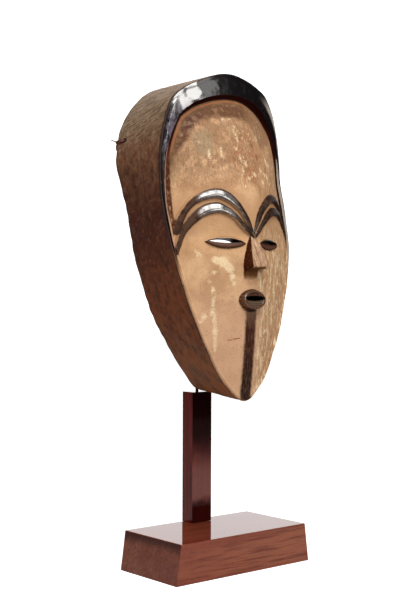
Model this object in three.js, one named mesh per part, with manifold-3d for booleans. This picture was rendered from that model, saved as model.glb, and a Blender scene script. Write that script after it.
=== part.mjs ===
// A carved wooden face mask, open at the back, held upright on a small wooden stand.
// Millimetres, +Z up, the front faces -Y, and the origin is at the middle of the stand's underside.

import * as THREE from 'three';
import * as BufferGeometryUtils from 'three/addons/utils/BufferGeometryUtils.js';
import Module from 'manifold-3d';

const wasm = await Module();
wasm.setup();

// Stand: a plinth with both ends sloping in, an upright post at its back edge and a steel rod
const standOffset = 4.5;
const base = { length: 203, width: 103, height: 45, endSlope: 6.2, chamfer: 0.6 };
const post = { width: 29.6, depth: 19.4, height: 156, chamfer: 0.4 };
const rod = { radius: 1.8, tipChamfer: 0.6, socketDepth: 20, sides: 16, y: 42.2, top: 560.6 };
const contactGap = 0.3;
const postY = (base.width - post.depth) / 2;
const rodFoot = base.height + post.height - rod.socketDepth + contactGap;

// Mask, in its own frame: x across, height up along the back plane, depth forward of the back plane
const maskLean = 7.4;
const maskFoot = { y: 37.8, z: 198 };
const centreHeight = 190;
const centreDepth = 118;
const wallAtRim = 10.5;
const faceThickness = 9.5;
const cornerInset = 8;
const cornerFill = 5;
const around = 96;
const tipDensity = 0.45;

// Radii from the face's centre and depths, each as [angle from the crown in degrees, millimetres]
const frontRadius = [[0, 176], [15, 170], [22, 168], [28, 163], [34, 151], [45, 128.5], [60, 108], [80, 96.2],
  [100, 94], [125, 102.5], [145, 123.5], [160, 153.5], [171, 185.5], [180, 203.5]];
const frontDepth = [[0, 103], [15, 101], [30, 86.3], [45, 77.4], [60, 73.8], [80, 76.5], [110, 82],
  [150, 83.3], [165, 81.6], [180, 80]];
const backRadius = [[0, 188], [13, 182], [25, 168.5], [34, 156.5], [43, 141.5], [50, 129.5], [60, 109],
  [72, 94], [90, 86.3], [110, 87.2], [130, 96], [145, 112], [160, 134.5], [171, 161], [180, 184.5]];
const bandWidth = [[0, 26], [15, 21.5], [26, 20.5], [33, 16], [43, 9.5], [52, 6.5], [65, 4.5], [85, 3],
  [180, 3]];
const bandRise = [[0, 1], [25, 0.4], [35, 2.4], [85, 2.2], [110, 1], [130, 0.5], [180, 0.5]];
const stepDepth = [[0, 5.5], [18, 7.4], [26, 5.5], [33, 3.2], [45, 2], [80, 1.4], [95, 0], [180, 0]];
const stepRun = 3.6;
const crown = { above: 1.75, below: 1.39, turnAngle: 95, blend: 8 };
const eyeHollow = { x: 38, height: 168, halfWidth: 24, halfHeight: 13, depth: 2.2 };

// Brows: two raised arcs over each eye, each as [distance from the middle, height, full width] along its
// middle. The mask's own right and left differ, as hand carving does.
const brows = {
  right: [
    [[0.4, 177, 2.6], [9.9, 193.1, 7.3], [21.9, 209.7, 10], [29.7, 216.4, 11.4], [39, 220.5, 11.8],
      [49.1, 219.7, 10.9], [58.7, 216.1, 9], [67.3, 210.5, 8], [73.8, 202.7, 7.3], [79.3, 194, 7.6],
      [82.9, 186, 7.4], [85, 178, 6]],
    [[0.5, 171, 3.4], [10, 180.5, 7], [15.5, 186.1, 6.8], [22.8, 193.7, 7.4], [31.2, 200.1, 9.4],
      [40.7, 204.1, 12.4], [51.2, 202.8, 12.8], [60.6, 198.2, 11.2], [68.7, 191.4, 10.2], [75.5, 183.4, 8.4],
      [80.3, 174.2, 6.4], [83.8, 164.3, 6.4], [86.6, 154.8, 5]],
  ],
  left: [
    [[2, 175.5, 2.4], [9, 192.4, 6.3], [14.2, 199.8, 7.2], [27, 212.1, 8.7], [34.5, 216.8, 9.5],
      [43, 220, 10.5], [52, 220.4, 10.4], [60.5, 217.2, 8.2], [68.5, 211.5, 5.6], [75.5, 204.5, 4.4],
      [81.5, 196.5, 4], [86, 188, 3.4]],
    [[4, 171, 3.6], [14.8, 184, 5], [20.6, 190.2, 6], [27, 195.7, 7.2], [34.2, 200.4, 8.6],
      [42, 203.7, 10.3], [50.4, 205.2, 11], [58.5, 204, 9], [66, 199, 5.6], [73, 192, 4.4],
      [79.5, 184.5, 4], [84, 178, 3]],
  ],
};
const brow = { height: 4.6, root: 3, sides: 8, segments: 22, tip: 0.45 };

// Eyes, nose and mouth
const eye = { inner: [9, 163.2], outer: [57, 166.2], above: 6.6, below: 6.8, swell: 2.4, root: 3 };
const slit = { inner: [14.5, 165], outer: [52.7, 167.4], above: 3.1, below: 1.7 };
const nose = { top: 173, foot: 133.8, root: 5 };
const noseHalf = [[133.8, 12.4], [138, 14.6], [144, 14.6], [150.5, 13], [156, 10.7], [161.5, 8.6], [167, 6.2],
  [173, 3.6]];
const noseMiddle = [[133.8, 3.2], [144, 3.2], [150.5, 2.7], [156, 1.8], [167, 0.2], [173, 0]];
const noseDepth = { top: 117.4, foot: 125.6 };
const mouth = { x: 0.8, height: 99.8, halfWidth: 16.5, halfHeight: 10.9, depth: 111.4, flare: 1.5, root: 13 };
const lips = { inner: 0.72, outer: 0.78, step: 1.2 };
const mouthSlit = { height: 101.4, halfWidth: 12.2, halfHeight: 2.3, depth: 11 };

// Lacing hole in each side wall, and the stub of lacing left in one of them
const lacingHole = { height: 299, depth: 11, radius: 2.7, sides: 12 };
const stub = { radius: 2.1, strayRadius: 0.75, stray: 9, sides: 8, inWall: 8 };

const degrees = THREE.MathUtils.radToDeg;
const radians = THREE.MathUtils.degToRad;
const lerp = THREE.MathUtils.lerp;

// A smooth curve through stations, level at both ends
function through(stations, at, column = 1) {
  const last = stations.length - 1;
  const slope = (i) => (i === 0 || i === last ? 0
    : (stations[i + 1][column] - stations[i - 1][column]) / (stations[i + 1][0] - stations[i - 1][0]));
  const i = Math.max(0, stations.findLastIndex((station, index) => index < last && station[0] <= at));
  const span = stations[i + 1][0] - stations[i][0];
  const t = THREE.MathUtils.clamp((at - stations[i][0]) / span, 0, 1);
  const ease = 3 * t ** 2 - 2 * t ** 3;
  const bend = slope(i) * (t ** 3 - 2 * t ** 2 + t) + slope(i + 1) * (t ** 3 - t ** 2);
  return lerp(stations[i][column], stations[i + 1][column], ease) + span * bend;
}

// The carved front at an angle: where the forehead's step ends and how deep it lies
function faceRim(angle) {
  const bandEdge = through(frontRadius, angle) - through(bandWidth, angle);
  const bandDepth = through(frontDepth, angle) + through(bandRise, angle);
  return { radius: bandEdge - stepRun, depth: bandDepth - through(stepDepth, angle), bandEdge, bandDepth };
}

// Depth of the plain face, without brows, eyes, nose and mouth
function faceDepth(x, height) {
  const up = height - centreHeight;
  const angle = degrees(Math.atan2(Math.abs(x), up));
  const rim = faceRim(angle);
  const above = 1 / (1 + Math.exp((angle - crown.turnAngle) / crown.blend));
  const power = lerp(crown.below, crown.above, above);
  const part = Math.hypot(x, up) / rim.radius;
  const hollow = eyeHollow.depth * Math.exp(-(((Math.abs(x) - eyeHollow.x) / eyeHollow.halfWidth) ** 2)
    - ((height - eyeHollow.height) / eyeHollow.halfHeight) ** 2);
  return rim.depth + (centreDepth - rim.depth) * (1 - part ** power) - hollow;
}

// A point of the mask's own frame, with its front towards -Y
const maskPoint = (x, height, depth) => new THREE.Vector3(x, -depth, height);

// The face's outward direction, for what is raised on it
function faceNormal(x, height) {
  const step = 0.5;
  const acrossSlope = (faceDepth(x + step, height) - faceDepth(x - step, height)) / (2 * step);
  const upSlope = (faceDepth(x, height + step) - faceDepth(x, height - step)) / (2 * step);
  return new THREE.Vector3(-acrossSlope, -1, -upSlope).normalize();
}

// Moves each vertex of a closed geometry by a rule and welds it
function shaped(geometry, rule) {
  const position = geometry.getAttribute('position');
  const vertex = new THREE.Vector3();
  for (let i = 0; i < position.count; i += 1) {
    const moved = rule(vertex.fromBufferAttribute(position, i), i);
    position.setXYZ(i, moved.x, moved.y, moved.z);
  }
  return welded(geometry);
}

function welded(geometry) {
  geometry.deleteAttribute('normal');
  geometry.deleteAttribute('uv');
  return BufferGeometryUtils.mergeVertices(geometry, 1e-3);
}

// A solid from a welded geometry, turned right side out
function toSolid(geometry) {
  const index = geometry.index.array;
  const triangles = [];
  for (let i = 0; i < index.length; i += 3) {
    const [a, b, c] = index.slice(i, i + 3);
    if (a !== b && b !== c && c !== a) triangles.push(a, b, c);
  }
  const meshOf = (corners) => new wasm.Mesh({
    numProp: 3,
    vertProperties: new Float32Array(geometry.getAttribute('position').array),
    triVerts: new Uint32Array(corners),
  });
  const solid = new wasm.Manifold(meshOf(triangles));
  return solid.volume() > 0 ? solid : new wasm.Manifold(meshOf(triangles.reverse()));
}

function fromSolid(solid) {
  const mesh = solid.getMesh();
  const geometry = new THREE.BufferGeometry();
  geometry.setAttribute('position', new THREE.BufferAttribute(new Float32Array(mesh.vertProperties), 3));
  geometry.setIndex(new THREE.BufferAttribute(new Uint32Array(mesh.triVerts), 1));
  geometry.computeVertexNormals();
  return geometry;
}

// Radius of the side wall's outline at a share of the way from the back rim to the front edge
function wallRadius(angle, share) {
  return lerp(through(backRadius, angle), through(frontRadius, angle), share);
}

// Angles from the crown, set closer together at the crown and the chin, where the radius is long
function spacedAngle(share) {
  return 180 * (share - (tipDensity * Math.sin(2 * Math.PI * share)) / (2 * Math.PI));
}

// The shell: rings from the face's centre, over the band, down the side wall, round the rim and back inside
function maskShell() {
  const onFace = (radius, angle, sunk) => {
    const x = radius * Math.sin(radians(angle));
    return [radius, faceDepth(x, centreHeight + radius * Math.cos(radians(angle))) - sunk];
  };
  const onWall = (share, inset) => (angle) => {
    return [wallRadius(angle, share) - inset, through(frontDepth, angle) * share];
  };
  const faceParts = [0, 0.16, 0.32, 0.48, 0.64, 0.8, 0.92, 1];
  const innerParts = [0.94, 0.74, 0.5, 0.25, 0];
  const rings = [
    ...faceParts.map((part) => (angle, rim) => onFace(rim.radius * part, angle, 0)),
    (angle, rim) => [rim.bandEdge, rim.bandDepth],
    (angle, rim) => [lerp(rim.bandEdge, through(frontRadius, angle), 0.75), rim.bandDepth - 0.3],
    (angle) => [wallRadius(angle, 1) - 0.4, through(frontDepth, angle) - 0.6],
    onWall(0.965, 0),
    onWall(0.62, 0),
    onWall(0.28, 0),
    onWall(0.016, 0),
    onWall(0, 1.5),
    onWall(0, wallAtRim - 1),
    onWall(0.016, wallAtRim),
    onWall(0.35, wallAtRim + 1),
    onWall(0.7, wallAtRim + 3.5),
    ...innerParts.map((part) => (angle, rim) => {
      return onFace((rim.radius - cornerInset) * part, angle, faceThickness + cornerFill * part ** 8);
    }),
  ];
  const ball = new THREE.SphereGeometry(1, around, rings.length - 1);
  return toSolid(shaped(ball, (vertex, i) => {
    const turn = (i % (around + 1)) / around;
    const side = turn < 0.5 ? 1 : -1;
    const angle = spacedAngle(1 - Math.abs(1 - 2 * turn));
    const [radius, depth] = rings[Math.floor(i / (around + 1))](angle, faceRim(angle));
    const x = side * radius * Math.sin(radians(angle));
    return maskPoint(x, centreHeight + radius * Math.cos(radians(angle)), depth);
  }));
}

// A raised arc along a brow's middle line, on one side of the face
function browRidge(line, side) {
  const middle = new THREE.SplineCurve(line.map(([x, height]) => new THREE.Vector2(x, height)));
  const widths = new THREE.SplineCurve(line.map(([, , width], i) => new THREE.Vector2(i, width)));
  const tube = new THREE.CylinderGeometry(1, 1, 1, brow.sides, brow.segments).rotateY(Math.PI / brow.sides);
  return toSolid(shaped(tube, (vertex) => {
    const t = 0.5 - vertex.y;
    const at = middle.getPoint(t);
    const along = middle.getTangent(t);
    const width = widths.getPoint(t).y;
    const ends = Math.min(1, brow.tip + 6 * Math.min(t, 1 - t)) * Math.min(1, 0.3 + width / 12);
    const across = vertex.x * 0.54 * width;
    const raised = vertex.z > 0 ? vertex.z * brow.height * ends : vertex.z * brow.root;
    const x = at.x - along.y * across;
    const height = at.y + along.x * across;
    return raisedPoint(x, height, raised, side);
  }));
}

// A point standing off the face, on one side
function raisedPoint(x, height, raised, side) {
  const point = maskPoint(x, height, faceDepth(x, height)).addScaledVector(faceNormal(x, height), raised);
  return point.setX(side * point.x);
}

// Distance of an almond's edge from the line between its corners
function almondSwell(shape, part, direction) {
  return (direction > 0 ? shape.above : -shape.below) * Math.sin(Math.PI * part) ** 0.8;
}

// The lids: an almond cushion on the face
function lids(side) {
  const sections = 28;
  const rows = [[0, 1], [0.45, 1], [0.8, 0.8], [1, 0], [1, -1], [0, -1]];
  const ball = new THREE.SphereGeometry(1, sections, rows.length - 1);
  return toSolid(shaped(ball, (vertex, i) => {
    const turn = 2 * Math.PI * ((i % (sections + 1)) / sections);
    const [spread, level] = rows[Math.floor(i / (sections + 1))];
    const part = 0.5 - 0.5 * Math.cos(turn) * spread;
    const swell = spread * almondSwell(eye, 0.5 - 0.5 * Math.cos(turn), Math.sin(turn));
    const x = lerp(eye.inner[0], eye.outer[0], part);
    const height = lerp(eye.inner[1], eye.outer[1], part) + swell;
    return raisedPoint(x, height, level * (level > 0 ? eye.swell : eye.root), side);
  }));
}

// A straight cut into the face along its depth, between two depths
function cutInto(outline, from, to) {
  const cut = new THREE.ExtrudeGeometry(new THREE.Shape(outline), { depth: to - from, bevelEnabled: false });
  return toSolid(shaped(cut, (vertex) => maskPoint(vertex.x, vertex.y, vertex.z + from)));
}

// The eye's slit goes right through
function eyeSlit(side) {
  const steps = 9;
  const outline = [];
  for (let i = 0; i < 2 * steps; i += 1) {
    const part = 1 - Math.abs(1 - i / steps);
    const x = side * lerp(slit.inner[0], slit.outer[0], part);
    const middle = lerp(slit.inner[1], slit.outer[1], part);
    outline.push(new THREE.Vector2(x, middle + almondSwell(slit, part, i < steps ? 1 : -1)));
  }
  return cutInto(outline, centreDepth - 75, centreDepth + 15);
}

// The mouth's slit is deep but blind
function mouthCut() {
  const { height, halfWidth, halfHeight, depth } = mouthSlit;
  const outline = new THREE.EllipseCurve(mouth.x, height, halfWidth, halfHeight).getPoints(14);
  return cutInto(outline.slice(0, -1), mouth.depth - depth, mouth.depth + 5);
}

// The nose: a wedge that widens to its wings and stands off the face most at its foot
function noseWedge() {
  const corners = [[-1, 0.42], [-0.78, 1], [0.78, 1], [1, 0.42], [1.08, 0], [0, 0], [-1.08, 0]];
  const wedge = new THREE.CylinderGeometry(1, 1, 1, corners.length, 9);
  return toSolid(shaped(wedge, (vertex) => {
    const down = 0.5 - vertex.y;
    const onAxis = Math.hypot(vertex.x, vertex.z) < 0.5;
    const turn = THREE.MathUtils.euclideanModulo(Math.atan2(vertex.x, vertex.z) / (2 * Math.PI), 1);
    const [across, out] = onAxis ? [0, 0.5] : corners[Math.round(turn * corners.length) % corners.length];
    const height = lerp(nose.top, nose.foot, down);
    const ridge = lerp(noseDepth.top, noseDepth.foot, down ** 0.8);
    const x = through(noseMiddle, height) + across * through(noseHalf, height);
    return maskPoint(x, height, lerp(faceDepth(x, height) - nose.root, ridge, out));
  }));
}

// The mouth: a short oval barrel with the lips set a little inside its edge
function mouthBarrel() {
  const sections = 32;
  const foot = 1 + mouth.flare / mouth.halfWidth;
  const rows = [[0, 1], [lips.inner, 1], [lips.outer, 2], [0.94, 2], [1, 1.5], [foot, 0], [0, 0]];
  const ball = new THREE.SphereGeometry(1, sections, rows.length - 1);
  return toSolid(shaped(ball, (vertex, i) => {
    const turn = 2 * Math.PI * ((i % (sections + 1)) / sections);
    const [spread, level] = rows[Math.floor(i / (sections + 1))];
    const x = mouth.x + spread * mouth.halfWidth * Math.cos(turn);
    const height = mouth.height + spread * mouth.halfHeight * Math.sin(turn);
    const depth = level === 0 ? mouth.depth - mouth.root : mouth.depth + (level - 2) * lips.step;
    return maskPoint(x, height, depth);
  }));
}

// Half the width of the mask at a height, at a share of the way from the back rim to the front edge
function halfWidthAt(height, share) {
  const reach = (angle) => wallRadius(angle, share) * Math.cos(radians(angle));
  let angle = 0;
  while (centreHeight + reach(angle) > height) angle += 0.25;
  return wallRadius(angle, share) * Math.sin(radians(angle));
}

// A round hole straight through one side wall
function sideHole(side) {
  const { radius, height, depth, sides } = lacingHole;
  const length = 50;
  const drill = new THREE.CylinderGeometry(radius, radius, length, sides).rotateZ(Math.PI / 2);
  const centre = maskPoint(side * (halfWidthAt(height, 0) - length / 4), height, depth);
  return toSolid(welded(drill.translate(centre.x, centre.y, centre.z)));
}

function buildMask() {
  let mask = maskShell().add(noseWedge()).add(mouthBarrel()).subtract(mouthCut());
  for (const side of [-1, 1]) {
    for (const line of side < 0 ? brows.right : brows.left) mask = mask.add(browRidge(line, side));
    mask = mask.add(lids(side)).subtract(eyeSlit(side)).subtract(sideHole(side));
  }
  return mask;
}

// A round strand through points given as [x, height, depth]
function strand(points, radius, steps) {
  const path = new THREE.CatmullRomCurve3(points.map(([x, height, depth]) => maskPoint(x, height, depth)));
  const section = new THREE.Shape().absarc(0, 0, radius, 0, 2 * Math.PI, false);
  const options = { extrudePath: path, steps, curveSegments: stub.sides / 2, bevelEnabled: false };
  return toSolid(welded(new THREE.ExtrudeGeometry(section, options)));
}

// The stub of lacing: out of its hole, back along the wall to the rim, then two stray ends
function buildStub() {
  const { height, depth } = lacingHole;
  const wall = -halfWidthAt(height, depth / through(frontDepth, 30));
  const rim = -halfWidthAt(height, 0) - stub.radius - 2 * contactGap;
  const thick = [
    [wall + stub.inWall, height, depth],
    [wall, height, depth],
    [rim - 0.4, height + 0.3, depth - 2.6],
    [rim - 0.6, height + 0.2, depth - 8],
    [rim - 0.2, height, -1],
  ];
  const up = [
    [rim - 0.2, height + 0.6, 2],
    [rim - 0.8, height + 2.6, -3],
    [rim - 1.4, height + 5.6, -stub.stray],
  ];
  const down = [
    [rim - 0.6, height - 0.8, 2.4],
    [rim - 0.8, height - 4, 0.2],
    [rim - 0.6, height - stub.stray, -0.6],
  ];
  const strays = strand(up, stub.strayRadius, 5).add(strand(down, stub.strayRadius, 5));
  return strand(thick, stub.radius, 12).add(strays);
}

// A block with its length along X, both ends sloping in towards the top and its edges taken off
function slopedBlock(length, depth, height, endSlope, chamfer) {
  const half = length / 2;
  const outline = [
    [-half, 0], [half, 0],
    [half - endSlope, height - chamfer], [half - endSlope - chamfer, height],
    [-half + endSlope + chamfer, height], [-half + endSlope, height - chamfer],
  ];
  const block = new THREE.ExtrudeGeometry(new THREE.Shape(outline.map(([x, z]) => new THREE.Vector2(x, z))), {
    depth: depth - 2 * chamfer,
    bevelThickness: chamfer,
    bevelSize: chamfer,
    bevelOffset: -chamfer,
    bevelSegments: 1,
  });
  return welded(block.translate(0, 0, chamfer - depth / 2).rotateX(Math.PI / 2));
}

// The post, with a blind socket for the rod in its top; its foot is at the geometry's own origin
function buildPost() {
  const height = post.height - contactGap;
  const radius = rod.radius + contactGap;
  const length = 2 * rod.socketDepth;
  const drill = new THREE.CylinderGeometry(radius, radius, length, rod.sides).rotateX(Math.PI / 2);
  const block = toSolid(slopedBlock(post.width, post.depth, height, 0, post.chamfer));
  return block.subtract(toSolid(welded(drill.translate(0, rod.y - postY, height))));
}

// The rod stands in the post's socket and ends just under the crown, inside the mask
function buildRod(length) {
  const { radius, tipChamfer } = rod;
  const shoulder = length - tipChamfer;
  const profile = [[0, 0], [radius, 0], [radius, shoulder], [radius - tipChamfer, length], [0, length]];
  const turned = new THREE.LatheGeometry(profile.map(([r, z]) => new THREE.Vector2(r, z)), rod.sides);
  return toSolid(welded(turned.rotateX(Math.PI / 2)));
}

function named(name, solid, color, roughness, metalness = 0) {
  const finish = new THREE.MeshStandardMaterial({ color, roughness, metalness, flatShading: true });
  const mesh = new THREE.Mesh(fromSolid(solid), finish);
  mesh.name = name;
  return mesh;
}

const mask = named('mask', buildMask(), '#c0a07c', 0.7);
const lacingStub = named('lacing_stub', buildStub(), '#6f3a22', 0.5);
const carving = new THREE.Group().add(mask, lacingStub);
carving.position.set(standOffset, maskFoot.y, maskFoot.z);
carving.rotation.x = -radians(maskLean);

const baseBlock = toSolid(slopedBlock(base.length, base.width, base.height, base.endSlope, base.chamfer));
const standBase = named('stand_base', baseBlock, '#7a3d30', 0.25);
const standPost = named('stand_post', buildPost(), '#5c1d1a', 0.25);
standPost.position.set(standOffset, postY, base.height + contactGap);
const standRod = named('stand_rod', buildRod(rod.top - rodFoot), '#26262a', 0.4, 0.9);
standRod.position.set(standOffset, rod.y, rodFoot);

const model = new THREE.Group().add(carving, standBase, standPost, standRod);
export default model;
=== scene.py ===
# A carved wooden face mask on its stand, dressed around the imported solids
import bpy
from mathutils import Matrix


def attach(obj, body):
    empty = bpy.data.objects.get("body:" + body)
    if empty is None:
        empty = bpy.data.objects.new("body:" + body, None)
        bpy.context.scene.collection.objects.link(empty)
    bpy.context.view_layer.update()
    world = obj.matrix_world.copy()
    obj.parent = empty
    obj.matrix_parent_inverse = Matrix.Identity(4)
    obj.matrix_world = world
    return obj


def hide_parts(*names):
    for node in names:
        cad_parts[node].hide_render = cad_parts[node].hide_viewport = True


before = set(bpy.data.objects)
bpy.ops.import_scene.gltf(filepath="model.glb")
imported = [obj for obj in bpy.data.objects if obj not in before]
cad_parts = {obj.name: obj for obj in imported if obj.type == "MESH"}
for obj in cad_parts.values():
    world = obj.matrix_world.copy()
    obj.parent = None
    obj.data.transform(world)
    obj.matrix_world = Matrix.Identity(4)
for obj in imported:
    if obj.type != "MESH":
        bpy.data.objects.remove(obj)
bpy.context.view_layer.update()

import math
import bpy
import bmesh
import numpy as np
from mathutils import Matrix, Vector, kdtree

mm = 0.001
print("frame loaded")

# The camera stands where the photograph was taken from, in metres and degrees
cameraSetup = {
    "place": (-0.8577, -0.9840, 0.3037),
    "yaw": 40.434,
    "pitch": 0.079,
    "roll": 0.227,
    "lens": 65.76,
    "sensor": 36.0,
}


def addObject(name, data):
    made = bpy.data.objects.new(name, data)
    bpy.context.scene.collection.objects.link(made)
    return made


def makeCamera(setup):
    data = bpy.data.cameras.new("photoCamera")
    data.lens = setup["lens"]
    data.sensor_width = setup["sensor"]
    camera = addObject("photoCamera", data)
    turn = Matrix.Rotation(math.radians(-setup["yaw"]), 4, "Z")
    lift = Matrix.Rotation(math.radians(90 + setup["pitch"]), 4, "X")
    roll = Matrix.Rotation(math.radians(setup["roll"]), 4, "Z")
    camera.matrix_world = Matrix.Translation(setup["place"]) @ turn @ lift @ roll
    bpy.context.scene.camera = camera


makeCamera(cameraSetup)

# The mask's own frame, in millimetres: x across, height up its back plane, depth forward of it
carving = {
    "lean": 7.4,
    "foot": (4.5, 37.8, 198.0),
    "centreHeight": 190.0,
    "centreDepth": 118.0,
    "wallAtRim": 10.5,
    "faceThickness": 9.5,
    "cornerInset": 8.0,
    "cornerFill": 5.0,
    "stepRun": 3.6,
    "crownAbove": 1.75,
    "crownBelow": 1.39,
    "crownTurn": 95.0,
    "crownBlend": 8.0,
    "hollowX": 38.0,
    "hollowHeight": 168.0,
    "hollowWide": 24.0,
    "hollowTall": 13.0,
    "hollowDepth": 2.2,
    "columns": 420,
    "tipDensity": 0.24,
    "noseBack": 13.0,
    "noseBackAt": (0.0, -34.0),
    "noseBackSize": (17.0, 34.0),
    "eyeThin": 3.4,
    "eyeThinAt": (36.0, -24.0),
    "eyeThinSize": (17.0, 10.0),
}

# Radii from the face's centre and depths, each as [angle from the crown in degrees, millimetres]
frontRadius = [[0, 176], [15, 170], [22, 168], [28, 163], [34, 151], [45, 128.5], [60, 108], [80, 96.2],
               [100, 94], [125, 102.5], [145, 123.5], [160, 153.5], [171, 185.5], [180, 203.5]]
frontDepth = [[0, 103], [15, 101], [30, 86.3], [45, 77.4], [60, 73.8], [80, 76.5], [110, 82],
              [150, 83.3], [165, 81.6], [180, 80]]
backRadius = [[0, 188], [13, 182], [25, 168.5], [34, 156.5], [43, 141.5], [50, 129.5], [60, 109],
              [72, 94], [90, 86.3], [110, 87.2], [130, 96], [145, 112], [160, 134.5], [171, 161],
              [180, 184.5]]
bandWidth = [[0, 26], [15, 21.5], [26, 20.5], [33, 16], [43, 9.5], [52, 6.5], [65, 4.5], [85, 3],
             [180, 3]]
bandRise = [[0, 1], [25, 0.4], [35, 2.4], [85, 2.2], [110, 1.0], [130, 0.5], [180, 0.5]]
stepDepth = [[0, 5.5], [18, 7.4], [26, 5.5], [33, 3.2], [45, 2], [80, 1.4], [95, 0], [180, 0]]


# A smooth curve through stations, level at both ends
def along(stations, at):
    knots, values = np.asarray(stations, float).T
    at = np.asarray(at, float)
    slopes = np.zeros(len(knots))
    slopes[1:-1] = (values[2:] - values[:-2]) / (knots[2:] - knots[:-2])
    i = np.clip(np.searchsorted(knots, at, side="right") - 1, 0, len(knots) - 2)
    span = knots[i + 1] - knots[i]
    t = np.clip((at - knots[i]) / span, 0, 1)
    bend = slopes[i] * (t**3 - 2 * t**2 + t) + slopes[i + 1] * (t**3 - t**2)
    return values[i] + (values[i + 1] - values[i]) * (3 * t**2 - 2 * t**3) + span * bend


def smooth(value, low, high):
    t = np.clip((value - low) / (high - low), 0, 1)
    return t * t * (3 - 2 * t)


# Where the forehead's step starts and ends, at an angle from the crown
def faceRim(angle):
    bandEdge = along(frontRadius, angle) - along(bandWidth, angle)
    bandDepth = along(frontDepth, angle) + along(bandRise, angle)
    return bandEdge - carving["stepRun"], bandDepth - along(stepDepth, angle), bandEdge, bandDepth


def crownAngle(x, height):
    return np.degrees(np.arctan2(np.abs(x), height - carving["centreHeight"]))


# Depth of the plain face, without brows, eyes, nose and mouth
def faceDepth(x, height):
    angle = crownAngle(x, height)
    rimRadius, rimDepth, _, _ = faceRim(angle)
    above = 1 / (1 + np.exp((angle - carving["crownTurn"]) / carving["crownBlend"]))
    power = carving["crownBelow"] + (carving["crownAbove"] - carving["crownBelow"]) * above
    part = np.hypot(x, height - carving["centreHeight"]) / rimRadius
    acrossPart = (np.abs(x) - carving["hollowX"]) / carving["hollowWide"]
    upPart = (height - carving["hollowHeight"]) / carving["hollowTall"]
    hollow = carving["hollowDepth"] * np.exp(-(acrossPart**2) - upPart**2)
    return rimDepth + (carving["centreDepth"] - rimDepth) * (1 - part**power) - hollow


def faceNormal(x, height):
    step = 0.5
    across = (faceDepth(x + step, height) - faceDepth(x - step, height)) / (2 * step)
    up = (faceDepth(x, height + step) - faceDepth(x, height - step)) / (2 * step)
    normal = np.stack([-across, -up, np.ones_like(across)], -1)
    return normal / np.linalg.norm(normal, axis=-1, keepdims=True)


# A uniform spline through the rows of a table, with count samples
def splineRows(table, count):
    rows = np.asarray(table, float)
    last = len(rows) - 1
    at = np.linspace(0, last, count)
    i = np.minimum(at.astype(int), last - 1)
    t = (at - i)[:, None]
    p0, p1, p2, p3 = (rows[np.clip(i + step, 0, last)] for step in (-1, 0, 1, 2))
    return 0.5 * (2 * p1 + (p2 - p0) * t + (2 * p0 - 5 * p1 + 4 * p2 - p3) * t**2
                  + (3 * p1 - p0 - 3 * p2 + p3) * t**3)


# Brows: two raised arcs over each eye, each as [distance from the middle, height, full width] along its
# middle.
# Near is the mask's own right and far its left; like the rest of hand carving, they differ.
# The profile runs from the lower edge to the upper edge: a steep lower facet and a broad upper one.
brows = {
    "near": [[[0.4, 177, 2.6], [4.4, 184.5, 5.4], [9.9, 193.1, 7.3], [15.3, 201.9, 8], [21.9, 209.7, 10],
              [29.7, 216.4, 11.4], [39, 220.5, 11.8], [49.1, 219.7, 10.9], [58.7, 216.1, 9], [67.3, 210.5, 8],
              [73.8, 202.7, 7.3], [79.3, 194, 7.6], [82.9, 186, 7.4], [85, 178, 6]],
             [[0.5, 171, 3.4], [5, 175.6, 6], [10, 180.5, 7], [15.5, 186.1, 6.8], [22.8, 193.7, 7.4],
              [31.2, 200.1, 9.4], [40.7, 204.1, 12.4], [51.2, 202.8, 12.8], [60.6, 198.2, 11.2],
              [68.7, 191.4, 10.2],
              [75.5, 183.4, 8.4], [80.3, 174.2, 6.4], [83.8, 164.3, 6.4], [86.6, 154.8, 5]]],
    "far": [[[2, 175.5, 2.4], [5.4, 184, 4.2], [9, 192.4, 6.3], [14.2, 199.8, 7.2], [20.2, 206.3, 7.9],
             [27, 212.1, 8.7], [34.5, 216.8, 9.5], [43, 220, 10.5], [52, 220.4, 10.4], [60.5, 217.2, 8.2],
             [68.5, 211.5, 5.6], [75.5, 204.5, 4.4], [81.5, 196.5, 4], [86, 188, 3.4]],
            [[4, 171, 3.6], [9.4, 177.4, 4.4], [14.8, 184, 5], [20.6, 190.2, 6], [27, 195.7, 7.2],
             [34.2, 200.4, 8.6], [42, 203.7, 10.3], [50.4, 205.2, 11], [58.5, 204, 9], [66, 199, 5.6],
             [73, 192, 4.4], [79.5, 184.5, 4], [84, 178, 3]]],
    "rise": 4.7,
    "tip": 0.45,
    "profileAt": [-1.03, -0.96, -0.88, -0.78, -0.64, -0.46, -0.2, 0.6, 0.86, 1.04],
    "profile": [0.0, 0.48, 0.74, 0.9, 0.98, 1.0, 0.97, 0.8, 0.5, 0.0],
    "samples": 220,
}


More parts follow.
